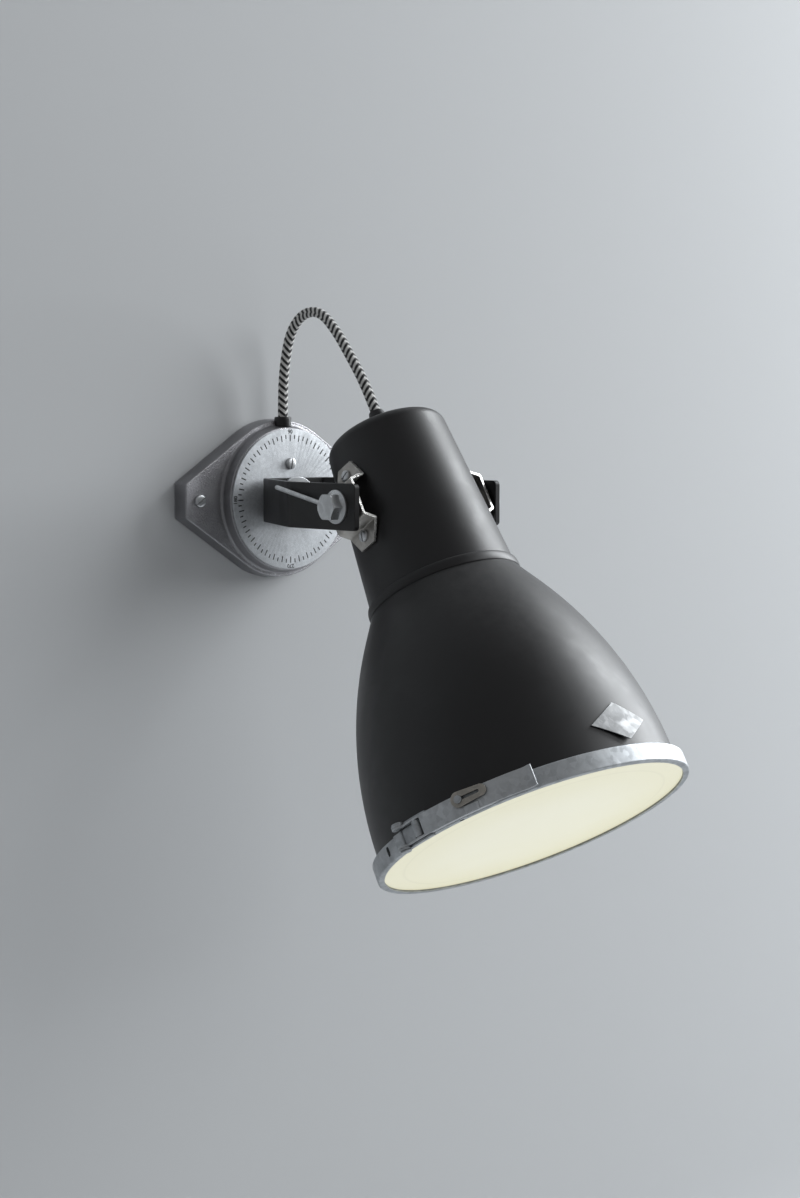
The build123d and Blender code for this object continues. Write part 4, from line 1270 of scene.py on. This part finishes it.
class Wardrobe:
    """All finishes, made once, and the ways to put them on pieces."""

    def __init__(self, frame: dict) -> None:
        """Build the finishes.
        """
        effects = Effects()
        self.frame = frame
        self.materials = {finish.slot: finish.build(effects) for finish in FINISHES}

    def dress(self, piece: bpy.types.Object, slot: Slot, body: Body, *nodes: str) -> bpy.types.Object:
        """Finish a new piece and hang it on its body.

        Args:
            piece: the object, in place.
            slot: its finish.
            body: the body that it moves with.
            *nodes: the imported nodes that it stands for.

        Returns:
            The same object.
        """
        piece.data.materials.clear()
        piece.data.materials.append(self.materials[slot])
        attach(piece, body.value)
        if nodes:
            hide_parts(*nodes)
        LOG.info("%s: %d faces on %s", piece.name, len(piece.data.polygons), body.value)
        return piece

    def keep(self, slot: Slot, *nodes: str) -> None:
        """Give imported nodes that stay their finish.

        Args:
            slot: the finish.
            *nodes: names of the nodes.
        """
        for name in nodes:
            node = self.frame["nodes"][name]
            for index in range(len(node.material_slots)):
                node.material_slots[index].material = self.materials[slot]
            LOG.info("%s: packed shape kept", name)

    def soft_copy(self, node: str, slot: Slot, body: Body, width: float,
                  matrix: Matrix | None = None) -> bpy.types.Object:
        """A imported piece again, with its hard edges rounded off.

        Args:
            node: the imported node, which the copy replaces.
            slot: its finish.
            body: the body that it moves with.
            width: width of the rounding in millimetres.
            matrix: frame of the copy's own axes, or none for the row's.

        Returns:
            The dressed copy.
        """
        source = self.frame["nodes"][node].data
        piece = new_object(f"{node}_soft", [v.co.copy() for v in source.vertices],
                           [tuple(face.vertices) for face in source.polygons])
        clean_mesh(piece.data, flat=0.4)
        soften(piece, width)
        if matrix is not None:
            to_frame(piece, matrix)
        return self.dress(piece, slot, body, node)


# ---- screws ----

@dataclass(frozen=True)
class PanScrew:
    """Slotted pan head."""

    radius: float = 4.0
    height: float = 2.4
    slot_width: float = 0.9
    slot_depth: float = 1.1
    side_share: float = 0.5
    flat_share: float = 0.42
    dome_share: float = 0.42
    dome_steps: int = 8
    edge: float = 0.12

    def head(self, name: str, matrix: Matrix, slot_turn: float) -> bpy.types.Object:
        """Make the head on its seat.

        Args:
            name: the piece's name.
            matrix: frame whose Z points out of the seat.
            slot_turn: turn of the slot in degrees.

        Returns:
            The head.
        """
        outline = [(0.0, 0.0), (self.radius, 0.0), (self.radius, self.height * self.side_share)]
        for step in range(1, self.dome_steps + 1):
            turn = math.radians(90 * step / self.dome_steps)
            out = self.flat_share + (1 - self.flat_share) * math.cos(turn)
            up = self.side_share + self.dome_share * math.sin(turn)
            outline.append((self.radius * out, self.height * up))
        piece = turned(name, [*outline, (0.0, self.height)], matrix, segments=48)
        half, reach = self.slot_width / 2, self.radius + 1
        bar = [(-reach, -half), (reach, -half), (reach, half), (-reach, half)]
        turn = Matrix.Rotation(math.radians(slot_turn), 4, "Z")
        cutter = prism(f"{name}_cutter", bar, self.height - self.slot_depth, self.height + 1, matrix @ turn)
        return soften(cut(piece, [cutter]), self.edge)


# ---- sub-assemblies ----

@dataclass
class BaseFixture:
    """Casting, dial, swivel stack and what lies in the drum."""

    wardrobe: Wardrobe
    dial_radius: float = 49.1
    dial_back: float = 21.0
    dial_front: float = 22.5
    dial_edge: float = 0.35
    bore_radius: float = 5.05
    dial_screw_height: float = 24.9
    dial_screw_bore: float = 2.15
    dial_screw_turn: float = 80.0
    cut_over: float = 1.0
    tick_outer: float = 44.9
    long_tick: float = 4.4
    short_tick: float = 2.8
    tick_width: float = 0.85
    tick_step: int = 5
    groove_depth: float = 0.3
    groove_over: float = 0.5
    ink_below: float = 0.04
    ink_shrink: float = 0.01
    number_step: int = 90
    number_radius: float = 47.0
    number_height: float = 2.8
    number_bold: float = 0.12
    digit_share: float = 0.7
    wing_screw_x: float = 70.0
    wing_screw_radius: float = 4.3
    wing_screw_turns: Span = (35.0, -60.0)
    wing_face: float = 12.5
    gland_depth: float = 14.0
    gland_radius: float = 6.0
    gland_stem: float = 4.8
    gland_bore: float = 3.1
    gland_round: float = 2.2
    gland_heights: tuple[float, float, float] = (44.6, 50.5, 57.5)
    bolt_edge: float = 0.25
    disc_edge: float = 0.35
    spacer_edge: float = 0.2

    def build(self) -> None:
        """Make every piece of the fixture."""
        keep = self.wardrobe.keep
        keep(Slot.CASTING, "base_casting")
        keep(Slot.STEEL, "pivot_washer", "pivot_spring", "pivot_nut", "earth_screw")
        keep(Slot.CERAMIC, "terminal_block")
        self._dial()
        self._screws()
        self._gland()
        self._stack()

    def _marks(self, name: str, low: float, high: float, shrink: float) -> bpy.types.Object:
        """The dial's ticks and numbers as one mesh of small prisms.

        Args:
            name: the piece's name.
            low: depth of their back.
            high: depth of their front.
            shrink: how much thinner they are than their groove.

        Returns:
            The marks, in the row's space.
        """
        pieces = []
        half = self.tick_width / 2 - shrink
        for index, degrees in enumerate(range(0, 360, self.tick_step)):
            length = self.short_tick if index % 2 else self.long_tick
            bar = [(self.tick_outer - length, -half), (self.tick_outer, -half),
                   (self.tick_outer, half), (self.tick_outer - length, half)]
            turn = Matrix.Rotation(math.radians(degrees), 4, "Z")
            pieces.append(prism(f"{name}_{degrees}", bar, low, high, WALL_MATRIX @ turn))
        for degrees in range(0, 360, self.number_step):
            pieces.append(self._number(degrees, low, high, shrink))
        return join(name, pieces)

    def _number(self, degrees: int, low: float, high: float, shrink: float) -> bpy.types.Object:
        """One number of the dial, upright as read from outside the circle.

        Args:
            degrees: the number and its place.
            low: depth of its back.
            high: depth of its front.
            shrink: how much thinner its strokes are than their groove.

        Returns:
            The number as a mesh in the row's space.
        """
        curve = bpy.data.curves.new(f"number_{degrees}", "FONT")
        curve.body = str(degrees)
        curve.size = self.number_height / self.digit_share * MM
        curve.align_x = "CENTER"
        curve.align_y = "CENTER"
        curve.extrude = (high - low) / 2 * MM
        curve.offset = (self.number_bold - shrink) * MM
        curve.resolution_u = 3
        text = bpy.data.objects.new(curve.name, curve)
        bpy.context.scene.collection.objects.link(text)
        place = Matrix.Rotation(math.radians(degrees), 4, "Z")
        place = place @ Matrix.Translation((self.number_radius * MM, 0.0, (low + high) / 2 * MM))
        place = WALL_MATRIX @ place @ Matrix.Rotation(math.radians(-90), 4, "Z")
        bpy.context.view_layer.update()
        mesh = bpy.data.meshes.new_from_object(text.evaluated_get(bpy.context.evaluated_depsgraph_get()))
        bpy.data.objects.remove(text)
        number = bpy.data.objects.new(curve.name, mesh)
        bpy.context.scene.collection.objects.link(number)
        clean_mesh(mesh, weld=0.001)
        number.matrix_world = place
        bpy.context.view_layer.update()
        return number

    def _dial(self) -> None:
        """Plate with its scale cut in and filled with dark enamel."""
        back = [(self.bore_radius, self.dial_back), (self.dial_radius, self.dial_back)]
        front = [(self.dial_radius, self.dial_front), (self.bore_radius, self.dial_front)]
        outline = round_corners(back + front, self.dial_edge)
        plate = turned("dial_plate_cut", outline, WALL_MATRIX, segments=192)
        place = WALL_MATRIX @ Matrix.Translation((0, self.dial_screw_height * MM, 0))
        low, high = self.dial_back - self.cut_over, self.dial_front + self.cut_over
        bore = [(0, low), (self.dial_screw_bore, low), (self.dial_screw_bore, high), (0, high)]
        hole = turned("dial_hole", bore, place, segments=48)
        groove_floor = self.dial_front - self.groove_depth
        grooves = self._marks("dial_grooves", groove_floor, self.dial_front + self.groove_over, 0.0)
        cut(plate, [hole, grooves])
        to_frame(plate, WALL_MATRIX)
        self.wardrobe.dress(plate, Slot.DIAL, Body.BASE, "dial_plate")
        enamel = self._marks("dial_enamel", groove_floor, self.dial_front - self.ink_below, self.ink_shrink)
        self.wardrobe.dress(enamel, Slot.PLASTIC, Body.BASE)

    def _screws(self) -> None:
        """The dial's screw and the two wall screws."""
        place = WALL_MATRIX @ Matrix.Translation((0, self.dial_screw_height * MM, self.dial_front * MM))
        head = PanScrew().head("dial_screw_head", place, self.dial_screw_turn)
        self.wardrobe.dress(head, Slot.STEEL, Body.BASE, "dial_screw")
        for name, side, turn in zip(("left", "right"), (-1, 1), self.wing_screw_turns):
            place = WALL_MATRIX @ Matrix.Translation(Vector((side * self.wing_screw_x, 0, self.wing_face)) * MM)
            head = PanScrew(radius=self.wing_screw_radius).head(f"wall_screw_{name}", place, turn)
            self.wardrobe.dress(head, Slot.STEEL, Body.BASE)

    def _gland(self) -> None:
        """Black bush with a round collar in the top of the drum."""
        foot, seat, top = self.gland_heights
        side = [(self.gland_stem, seat), (self.gland_radius, seat)]
        side += [(self.gland_radius, top), (self.gland_bore, top)]
        collar = round_corners(side, self.gland_round, steps=6, closed=False)
        outline = [(self.gland_bore, foot), (self.gland_stem, foot), *collar]
        place = Matrix.Translation((0.0, -self.gland_depth * MM, 0.0))
        gland = turned("base_gland_round", outline, place, segments=64)
        self.wardrobe.dress(gland, Slot.PLASTIC, Body.BASE, "base_gland")

    def _stack(self) -> None:
        """Bolt head, clamp disc and spacer of the swivel."""
        soft = self.wardrobe.soft_copy
        soft("pivot_bolt", Slot.STEEL, Body.BASE, self.bolt_edge, WALL_MATRIX)
        soft("pivot_disc", Slot.STEEL, Body.BASE, self.disc_edge, WALL_MATRIX)
        soft("pivot_spacer", Slot.BLACK_BAR, Body.BASE, self.spacer_edge, WALL_MATRIX)


@dataclass
class Yoke:
    """Bent bar, tilt bolts, friction washers and tommy bar."""

    wardrobe: Wardrobe
    bar_edge: float = 0.5
    bolt_edge: float = 0.22
    washer_edge: float = 0.2

    def build(self) -> None:
        """Make every piece of the yoke and the clamp."""
        soft = self.wardrobe.soft_copy
        tilt = Matrix.Translation(TILT_PIVOT) @ Matrix.Rotation(math.radians(90), 4, "Y")
        soft("yoke", Slot.BLACK_BAR, Body.YOKE, self.bar_edge)
        soft("tilt_bolt", Slot.STEEL, Body.YOKE, self.bolt_edge, tilt)
        soft("friction_washers", Slot.PLASTIC, Body.YOKE, self.washer_edge, tilt)
        soft("clamp_bolt", Slot.STEEL, Body.CLAMP, self.bolt_edge, tilt)
        self.wardrobe.keep(Slot.STEEL, "tommy_bar")


@dataclass
class Shade:
    """Neck, bell, brackets, cord grip and the small plate on the bell."""

    wardrobe: Wardrobe
    neck_radius: float = 44.5
    neck_slope: float = 0.08
    strip: float = 2.0
    tab_screw: float = 21.75
    bell_radius: float = 98.04
    bell_straight: float = 218.3
    flare_arc: float = 259.5
    plate_angle: float = 87.6
    plate_station: float = 203.5
    plate_across: float = 46.0
    plate_down: float = 25.6
    plate_thick: float = 0.8
    plate_gap: float = 0.15
    plate_proud: float = 2.0
    plate_spans: int = 16
    bead_radius: float = 50.9
    bead_station: float = 65.0
    bead_height: float = 0.9
    bead_half: float = 3.3
    bead_steps: int = 16
    screw_gap: float = 0.04
    screw_turns: tuple[float, ...] = (20, 75, -40, 10)
    bracket_edge: float = 0.25
    nut_edge: float = 0.2
    gland_edge: float = 0.3
    plate_edge: float = 0.15

    def build(self) -> None:
        """Make every piece of the shade."""
        self.wardrobe.keep(Slot.SHADE, "neck_shell", "bell_shell")
        soft = self.wardrobe.soft_copy
        for side in ("left", "right"):
            soft(f"hat_bracket_{side}", Slot.STRIP, Body.HEAD, self.bracket_edge, HEAD_MATRIX)
        soft("tilt_nuts", Slot.STEEL, Body.HEAD, self.nut_edge)
        soft("bracket_nuts", Slot.STEEL, Body.HEAD, self.nut_edge)
        soft("shade_gland", Slot.PLASTIC, Body.HEAD, self.gland_edge, HEAD_MATRIX)
        self._bracket_screws()
        self._plate()
        self._bead()

    def _plate(self) -> None:
        """Bare lozenge plate bent to the bell, its lower corner a little proud."""
        count = self.plate_spans
        side = count + 1
        vertices, faces = [], []
        for level in (self.plate_gap, self.plate_gap + self.plate_thick):
            for row in range(side):
                for column in range(side):
                    across, down = (row - column) / count, (row + column) / count - 1
                    station = self.plate_station + down * self.plate_down / 2
                    fall = self.bell_straight - station
                    bell = self.bell_radius - self.flare_arc + math.sqrt(self.flare_arc ** 2 - fall ** 2)
                    radius = bell + level + self.plate_proud * max(0.0, down)
                    turn = math.radians(self.plate_angle) + across * self.plate_across / 2 / radius
                    out = Vector((radius * math.cos(turn), radius * math.sin(turn), station))
                    vertices.append(out * MM)
        top = side * side
        for row in range(count):
            for column in range(count):
                here = row * side + column
                faces.append((here, here + 1, here + side + 1, here + side))
                faces.append((top + here, top + here + side, top + here + side + 1, top + here + 1))
        for first, stride in ((0, 1), (count * side, 1), (0, side), (count, side)):
            for step in range(count):
                here = first + step * stride
                faces.append((here, here + stride, top + here + stride, top + here))
        piece = new_object("bell_plate", vertices, faces)
        clean_mesh(piece.data)
        piece.matrix_world = HEAD_MATRIX
        soften(piece, self.plate_edge)
        self.wardrobe.dress(piece, Slot.BADGE, Body.HEAD)

    def _bead(self) -> None:
        """Rolled bead round the bell's collar."""
        inside = self.bead_radius - self.bead_height
        outline = [(inside, self.bead_station - self.bead_half)]
        for step in range(self.bead_steps + 1):
            turn = math.pi * step / self.bead_steps
            along = -self.bead_half * math.cos(turn)
            radius = self.bead_radius + self.neck_slope * along + self.bead_height * math.sin(turn)
            outline.append((radius, self.bead_station + along))
        outline.append((inside, self.bead_station + self.bead_half))
        bead = turned("collar_bead", outline, HEAD_MATRIX, segments=160)
        self.wardrobe.dress(bead, Slot.SHADE, Body.HEAD)

    def _bracket_screws(self) -> None:
        """Slotted heads on the four bracket tabs."""
        lean = math.atan(self.neck_slope)
        turns = iter(self.screw_turns)
        heads = []
        for side in (-1, 1):
            for station in (-self.tab_screw, self.tab_screw):
                radius = self.neck_radius + self.neck_slope * station
                out = Vector((side * math.cos(lean), 0, -math.sin(lean)))
                across = Vector((0, 1, 0))
                down = out.cross(across)
                place = (Vector((side * radius, 0, station)) + out * (self.strip + self.screw_gap)) * MM
                axes = Matrix((across, down, out)).transposed().to_4x4()
                matrix = HEAD_MATRIX @ Matrix.Translation(place) @ axes
                heads.append(PanScrew().head(f"screw_{side}_{station}", matrix, next(turns)))
        piece = join("bracket_screw_heads", heads)
        self.wardrobe.dress(piece, Slot.STEEL, Body.HEAD, "bracket_screws")


@dataclass
class Lamp:
    """Nipple, holder and bulb."""

    wardrobe: Wardrobe

    def build(self) -> None:
        """Finish the pieces inside the shade."""
        keep = self.wardrobe.keep
        keep(Slot.BRASS, "nipple", "nipple_nut")
        keep(Slot.CERAMIC, "lamp_holder")
        keep(Slot.LAMP_CAP, "bulb_cap")
        keep(Slot.BULB, "bulb_glass")


@dataclass
class RimClamp:
    """Clamp band, gasket, lens and the over-centre latch."""

    wardrobe: Wardrobe
    lever_radius: float = 108.2
    tab_thick: float = 0.5
    tab_sink: float = 0.1
    tab_angles: Span = (146.9, 151.8)
    tab_stations: Span = (227.0, 231.5)
    lip_at: Span = (110.2, 128.2)
    lip_round: float = 0.7
    lip_end_round: float = 0.3
    lip_stations: Span = (218.72, 231.72)
    sheet_edge: float = 0.2
    fine_edge: float = 0.15
    rivet_edge: float = 0.25

    def build(self) -> None:
        """Make every piece round the rim."""
        self.wardrobe.keep(Slot.RUBBER, "lens_gasket")
        self.wardrobe.keep(Slot.GALVANISED, "clamp_ring")
        for node, slot, body, edge in (
            ("lens", Slot.LENS, Body.HEAD, self.sheet_edge),
            ("ring_lug", Slot.GALVANISED, Body.HEAD, self.fine_edge),
            ("lever_rivets", Slot.GALVANISED, Body.HEAD, self.rivet_edge),
            ("latch_lever", Slot.LATCH, Body.LEVER, self.sheet_edge),
            ("link_pin", Slot.LATCH, Body.LEVER, self.fine_edge),
            ("catch_rivet", Slot.GALVANISED, Body.LEVER, self.fine_edge),
            ("latch_link", Slot.GALVANISED, Body.LINK, self.sheet_edge),
            ("catch_plate", Slot.CATCH, Body.CATCH, self.fine_edge),
        ):
            self.wardrobe.soft_copy(node, slot, body, edge, HEAD_MATRIX)
        tab_radii = (self.lever_radius - self.tab_sink, self.lever_radius + self.tab_thick)
        tab = bent_plate("lever_tab", tab_radii, self.tab_angles, self.tab_stations)
        self.wardrobe.dress(soften(tab, self.fine_edge), Slot.LATCH, Body.LEVER)
        self._lip_edge()

    def _lip_edge(self) -> None:
        """Rounded edge along the end of the lever's finger lip."""
        radius, angle = self.lip_at
        turn = math.radians(angle)
        place = Matrix.Translation(Vector((radius * math.cos(turn), radius * math.sin(turn), 0.0)) * MM)
        low, high = self.lip_stations
        side = [(0.0, low), (self.lip_round, low), (self.lip_round, high), (0.0, high)]
        outline = round_corners(side, self.lip_end_round, closed=False)
        edge = turned("lever_lip_edge", outline, HEAD_MATRIX @ place, segments=24)
        self.wardrobe.dress(edge, Slot.LATCH, Body.LEVER)


@dataclass
class Cord:
    """Braided cord from the base gland over to the shade gland."""

    wardrobe: Wardrobe
    diameter: float = 7.0
    ridge: float = 0.28
    ridge_fullness: float = 0.7
    ridge_share: float = 0.55
    tuck_width: float = 0.1
    stripe: float = 4.6
    zigzags: int = 2
    rise: float = 0.9
    around: int = 56
    step: float = 0.4
    lead: float = 21.5
    grip_top: float = 70.6
    start: Span = (-14.0, 57.5)
    middle: tuple[Span, ...] = (
        (-14.0, 77.0), (-17.2, 98.0), (-23.6, 117.2), (-38.4, 129.2), (-57.4, 129.4),
        (-74.6, 116.0), (-90.4, 98.0),
    )

    def route(self) -> list[Vector]:
        """Place the cord's chosen points.

        Returns:
            The points in metres, from the base to the shade.
        """
        points = [Vector((0, y, z)) * MM for y, z in (self.start, *self.middle)]
        for height in (self.grip_top + self.lead, self.grip_top):
            points.append(HEAD_MATRIX @ Vector((0, 0, -height * MM)))
        return points

    def line(self) -> list[Vector]:
        """Lay the smooth line that the route's points steer.

        Returns:
            Close points along it.
        """
        route = self.route()
        curve = bpy.data.curves.new("cord_route", "CURVE")
        curve.dimensions = "3D"
        curve.resolution_u = 64
        spline = curve.splines.new("NURBS")
        spline.points.add(len(route) - 1)
        for target, point in zip(spline.points, route):
            target.co = (*point, 1.0)
        spline.order_u = 3
        spline.use_endpoint_u = True
        holder = bpy.data.objects.new("cord_route", curve)
        bpy.context.scene.collection.objects.link(holder)
        bpy.context.view_layer.update()
        mesh = bpy.data.meshes.new_from_object(holder)
        points = [vertex.co.copy() for vertex in mesh.vertices]
        bpy.data.objects.remove(holder)
        bpy.data.meshes.remove(mesh)
        return points

    def build(self) -> None:
        """Make the two stretches, which meet at the top of the arch."""
        points = self._even(self.line())
        top = max(range(len(points)), key=lambda index: points[index].z)
        first, second = points[:top + 1], points[top:]
        stretches = (
            ("cord_rising", first, 0.0, (Body.BASE, Body.YOKE)),
            ("cord_falling", second, self._length(first), (Body.YOKE, Body.HEAD)),
        )
        for name, path, offset, bodies in stretches:
            tube = self._tube(name, path, offset)
            tube.data.materials.append(self.wardrobe.materials[Slot.BRAID])
            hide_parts("cord")
            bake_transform(tube)
            LOG.info("%s: %.1f mm long", name, self._length(path) / MM)

    @staticmethod
    def _length(path: Sequence[Vector]) -> float:
        """Length of a path in metres."""
        return sum((b - a).length for a, b in zip(path, path[1:]))

    def _even(self, points: Sequence[Vector]) -> list[Vector]:
        """The same line with evenly spaced points.

        Args:
            points: points along the line.

        Returns:
            Points about one step apart.
        """
        total = self._length(points)
        count = round(total / (self.step * MM))
        spacing = total / count
        even, walked, index = [points[0]], 0.0, 0
        for number in range(1, count):
            target = number * spacing
            while walked + (points[index + 1] - points[index]).length < target:
                walked += (points[index + 1] - points[index]).length
                index += 1
            share = (target - walked) / (points[index + 1] - points[index]).length
            even.append(points[index].lerp(points[index + 1], share))
        return [*even, points[-1]]

    def _tube(self, name: str, path: Sequence[Vector], offset: float) -> bpy.types.Object:
        """Ridged tube along a path.

        Args:
            name: the piece's name.
            path: evenly spaced points.
            offset: length of cord before the path, in metres.

        Returns:
            The tube, with its unwrapped coordinates in turns and stripes.
        """
        vertices, walks = self._rings(path, offset)
        faces, places = self._skin(walks)
        tube = new_object(name, vertices, faces)
        layer = tube.data.uv_layers.new(name="braid")
        for index, place in enumerate(places):
            layer.data[index].uv = place
        return tube

    def _rings(self, path: Sequence[Vector], offset: float) -> tuple[list[Vector], list[float]]:
        """Set a ring of points round each point of a path.

        Args:
            path: evenly spaced points.
            offset: length of cord before the path, in metres.

        Returns:
            The rings' points, and each ring's place along the cord in stripe pairs.
        """
        vertices, walks = [], []
        walked = offset
        side = Vector((1.0, 0.0, 0.0))
        for index, point in enumerate(path):
            before, after = path[max(index - 1, 0)], path[min(index + 1, len(path) - 1)]
            up = side.cross((after - before).normalized())
            stripes = walked / (self.stripe * MM)
            walks.append(stripes)
            for turn in range(self.around):
                share = turn / self.around
                radius = (self.diameter / 2 - self.ridge * (1 - self._swell(share, stripes))) * MM
                angle = math.tau * share
                vertices.append(point + side * math.cos(angle) * radius + up * math.sin(angle) * radius)
            if index < len(path) - 1:
                walked += (path[index + 1] - point).length
        return vertices, walks

    def _skin(self, walks: Sequence[float]) -> tuple[list[tuple[int, ...]], list[Span]]:
        """Cover the rings with faces and close both ends.

        Args:
            walks: each ring's place along the cord in stripe pairs.

        Returns:
            The faces, and the unwrapped coordinates of their corners.
        """
        faces, places = [], []
        for ring in range(len(walks) - 1):
            for turn in range(self.around):
                ahead = (turn + 1) % self.around
                first, second = ring * self.around, (ring + 1) * self.around
                faces.append((first + turn, first + ahead, second + ahead, second + turn))
                low, high = turn / self.around, (turn + 1) / self.around
                start, end = walks[ring], walks[ring + 1]
                places += [(low, start), (high, start), (high, end), (low, end)]
        faces.append(tuple(reversed(range(self.around))))
        faces.append(tuple(range((len(walks) - 1) * self.around, len(walks) * self.around)))
        places += [(0.0, 0.0)] * 2 * self.around
        return faces, places

    def _swell(self, share: float, stripes: float) -> float:
        """Height of the yarn, from 0 in a groove to 1 on a ridge.

        Args:
            share: place round the cord in turns.
            stripes: place along it in stripe pairs.

        Returns:
            The height.
        """
        wave = (share * self.zigzags) % 1.0
        fold = min(wave, 1.0 - wave)
        phase = (stripes + fold * self.rise * 2) * 2
        ridge = abs(math.sin(math.pi * phase)) ** self.ridge_fullness
        tuck = min(1.0, min(fold, 0.5 - fold) / self.tuck_width)
        return ridge * (self.ridge_share + (1 - self.ridge_share) * tuck)


@dataclass
class Studio:
    """Camera, backdrop and lights."""

    position: Point = (-0.93362, -1.26591, 0.05587)
    forward: Point = (0.63713, 0.76648, -0.08107)
    focal_mm: float = 99.56
    sensor_mm: float = 36.0
    clip_start: float = 0.01
    wall_half: float = 4.0
    wall_top: float = 3.5
    floor_height: float = -1.1
    floor_depth: float = 5.0
    cove_radius: float = 0.5
    cove_steps: int = 16
    wall_gap: float = 0.0006
    backdrop: Colour = (0.62, 0.63, 0.64)
    backdrop_roughness: float = 0.9
    backdrop_specular: float = 0.1
    sky: Colour = (0.60, 0.61, 0.62)
    ambient: float = 0.22
    key_place: Point = (2.1, -0.52, 0.9)
    key_size: Span = (0.9, 1.9)
    key_power: float = 73.0
    key_colour: Colour = (0.94, 0.975, 1.0)
    fill_place: Point = (1.35, -2.0, 1.0)
    fill_size: Span = (1.5, 1.2)
    fill_power: float = 13.0
    fill_colour: Colour = (0.95, 0.98, 1.0)
    aim: Point = (0.0, -0.12, -0.05)

    def build(self) -> None:
        """Make the whole studio."""
        self._camera()
        self._backdrop()
        self._world()
        self._light("key_light", self.key_place, self.key_size, self.key_power, self.key_colour)
        self._light("fill_light", self.fill_place, self.fill_size, self.fill_power, self.fill_colour)
        bpy.context.scene.view_settings.view_transform = "Standard"

    def _camera(self) -> None:
        """Camera at the photograph's place and angle."""
        data = bpy.data.cameras.new("photo_camera")
        data.sensor_fit = "HORIZONTAL"
        data.sensor_width = self.sensor_mm
        data.lens = self.focal_mm
        data.clip_start = self.clip_start
        camera = bpy.data.objects.new("photo_camera", data)
        camera.location = self.position
        camera.rotation_euler = Vector(self.forward).to_track_quat("-Z", "Y").to_euler()
        bpy.context.scene.collection.objects.link(camera)
        bpy.context.scene.camera = camera

    def _backdrop(self) -> None:
        """Plain sheet behind the light that curves out into a floor."""
        corner = []
        for step in range(self.cove_steps + 1):
            turn = math.radians(90 * step / self.cove_steps)
            corner.append((-self.cove_radius * (1 - math.cos(turn)),
                           self.floor_height + self.cove_radius * (1 - math.sin(turn))))
        line = [(0.0, self.wall_top), *corner, (-self.floor_depth, self.floor_height)]
        vertices = [(x, y + self.wall_gap, z) for y, z in line for x in (-self.wall_half, self.wall_half)]
        faces = [(2 * index, 2 * index + 2, 2 * index + 3, 2 * index + 1) for index in range(len(line) - 1)]
        sheet = new_object("backdrop", vertices, faces)
        sheet.data.materials.append(self._paper())

    def _paper(self) -> bpy.types.Material:
        """Plain pale paper, clear when seen from its back.

        Returns:
            The material.
        """
        material = bpy.data.materials.new("backdrop_paper")
        material.use_nodes = True
        graph = Graph(material.node_tree)
        shader = material.node_tree.nodes["Principled BSDF"]
        shader.inputs["Base Color"].default_value = (*self.backdrop, 1.0)
        shader.inputs["Roughness"].default_value = self.backdrop_roughness
        shader.inputs["Specular IOR Level"].default_value = self.backdrop_specular
        clear = graph.node("BsdfTransparent")
        mix = graph.node("MixShader")
        graph.feed(mix.inputs[0], graph.node("NewGeometry").outputs["Backfacing"])
        graph.tree.links.new(shader.outputs[0], mix.inputs[1])
        graph.tree.links.new(clear.outputs[0], mix.inputs[2])
        output = next(node for node in graph.tree.nodes if node.type == "OUTPUT_MATERIAL")
        graph.tree.links.new(mix.outputs[0], output.inputs["Surface"])
        return material

    def _world(self) -> None:
        """Even light from all round, with a paler sky for the camera."""
        world = bpy.data.worlds.new("studio_air")
        world.use_nodes = True
        bpy.context.scene.world = world
        graph = Graph(world.node_tree)
        background = world.node_tree.nodes["Background"]
        path = graph.node("LightPath")
        seen = graph.math("MAXIMUM", path.outputs["Is Camera Ray"], path.outputs["Is Transmission Ray"])
        dim = tuple(part * self.ambient / self.sky[0] for part in self.sky)
        graph.feed(background.inputs["Color"], graph.mix(seen, dim, self.sky))
        background.inputs["Strength"].default_value = 1.0

    def _light(self, name: str, place: Point, size: Span, power: float, colour: Colour) -> None:
        """One soft rectangular light that the camera doesn't see.

        Args:
            name: the light's name.
            place: its position in metres.
            size: its width and height in metres.
            power: its power in watts.
            colour: its colour.
        """
        data = bpy.data.lights.new(name, "AREA")
        data.shape = "RECTANGLE"
        data.size, data.size_y = size
        data.energy = power
        data.color = colour
        light = bpy.data.objects.new(name, data)
        light.location = place
        light.rotation_euler = (Vector(self.aim) - Vector(place)).to_track_quat("-Z", "Y").to_euler()
        light.visible_camera = False
        bpy.context.scene.collection.objects.link(light)


def clear_file() -> None:
    """Remove the objects that a new file starts with."""
    for item in list(bpy.data.objects):
        bpy.data.objects.remove(item)


def main() -> None:
    """Build the light's looks around its frame."""
    logging.basicConfig(level=logging.INFO, format="%(name)s: %(message)s")
    clear_file()
    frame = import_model()
    Studio().build()
    wardrobe = Wardrobe(frame)
    Cord(wardrobe).build()
    BaseFixture(wardrobe).build()
    Yoke(wardrobe).build()
    Shade(wardrobe).build()
    Lamp(wardrobe).build()
    RimClamp(wardrobe).build()


if __name__ == "__main__":
    main()
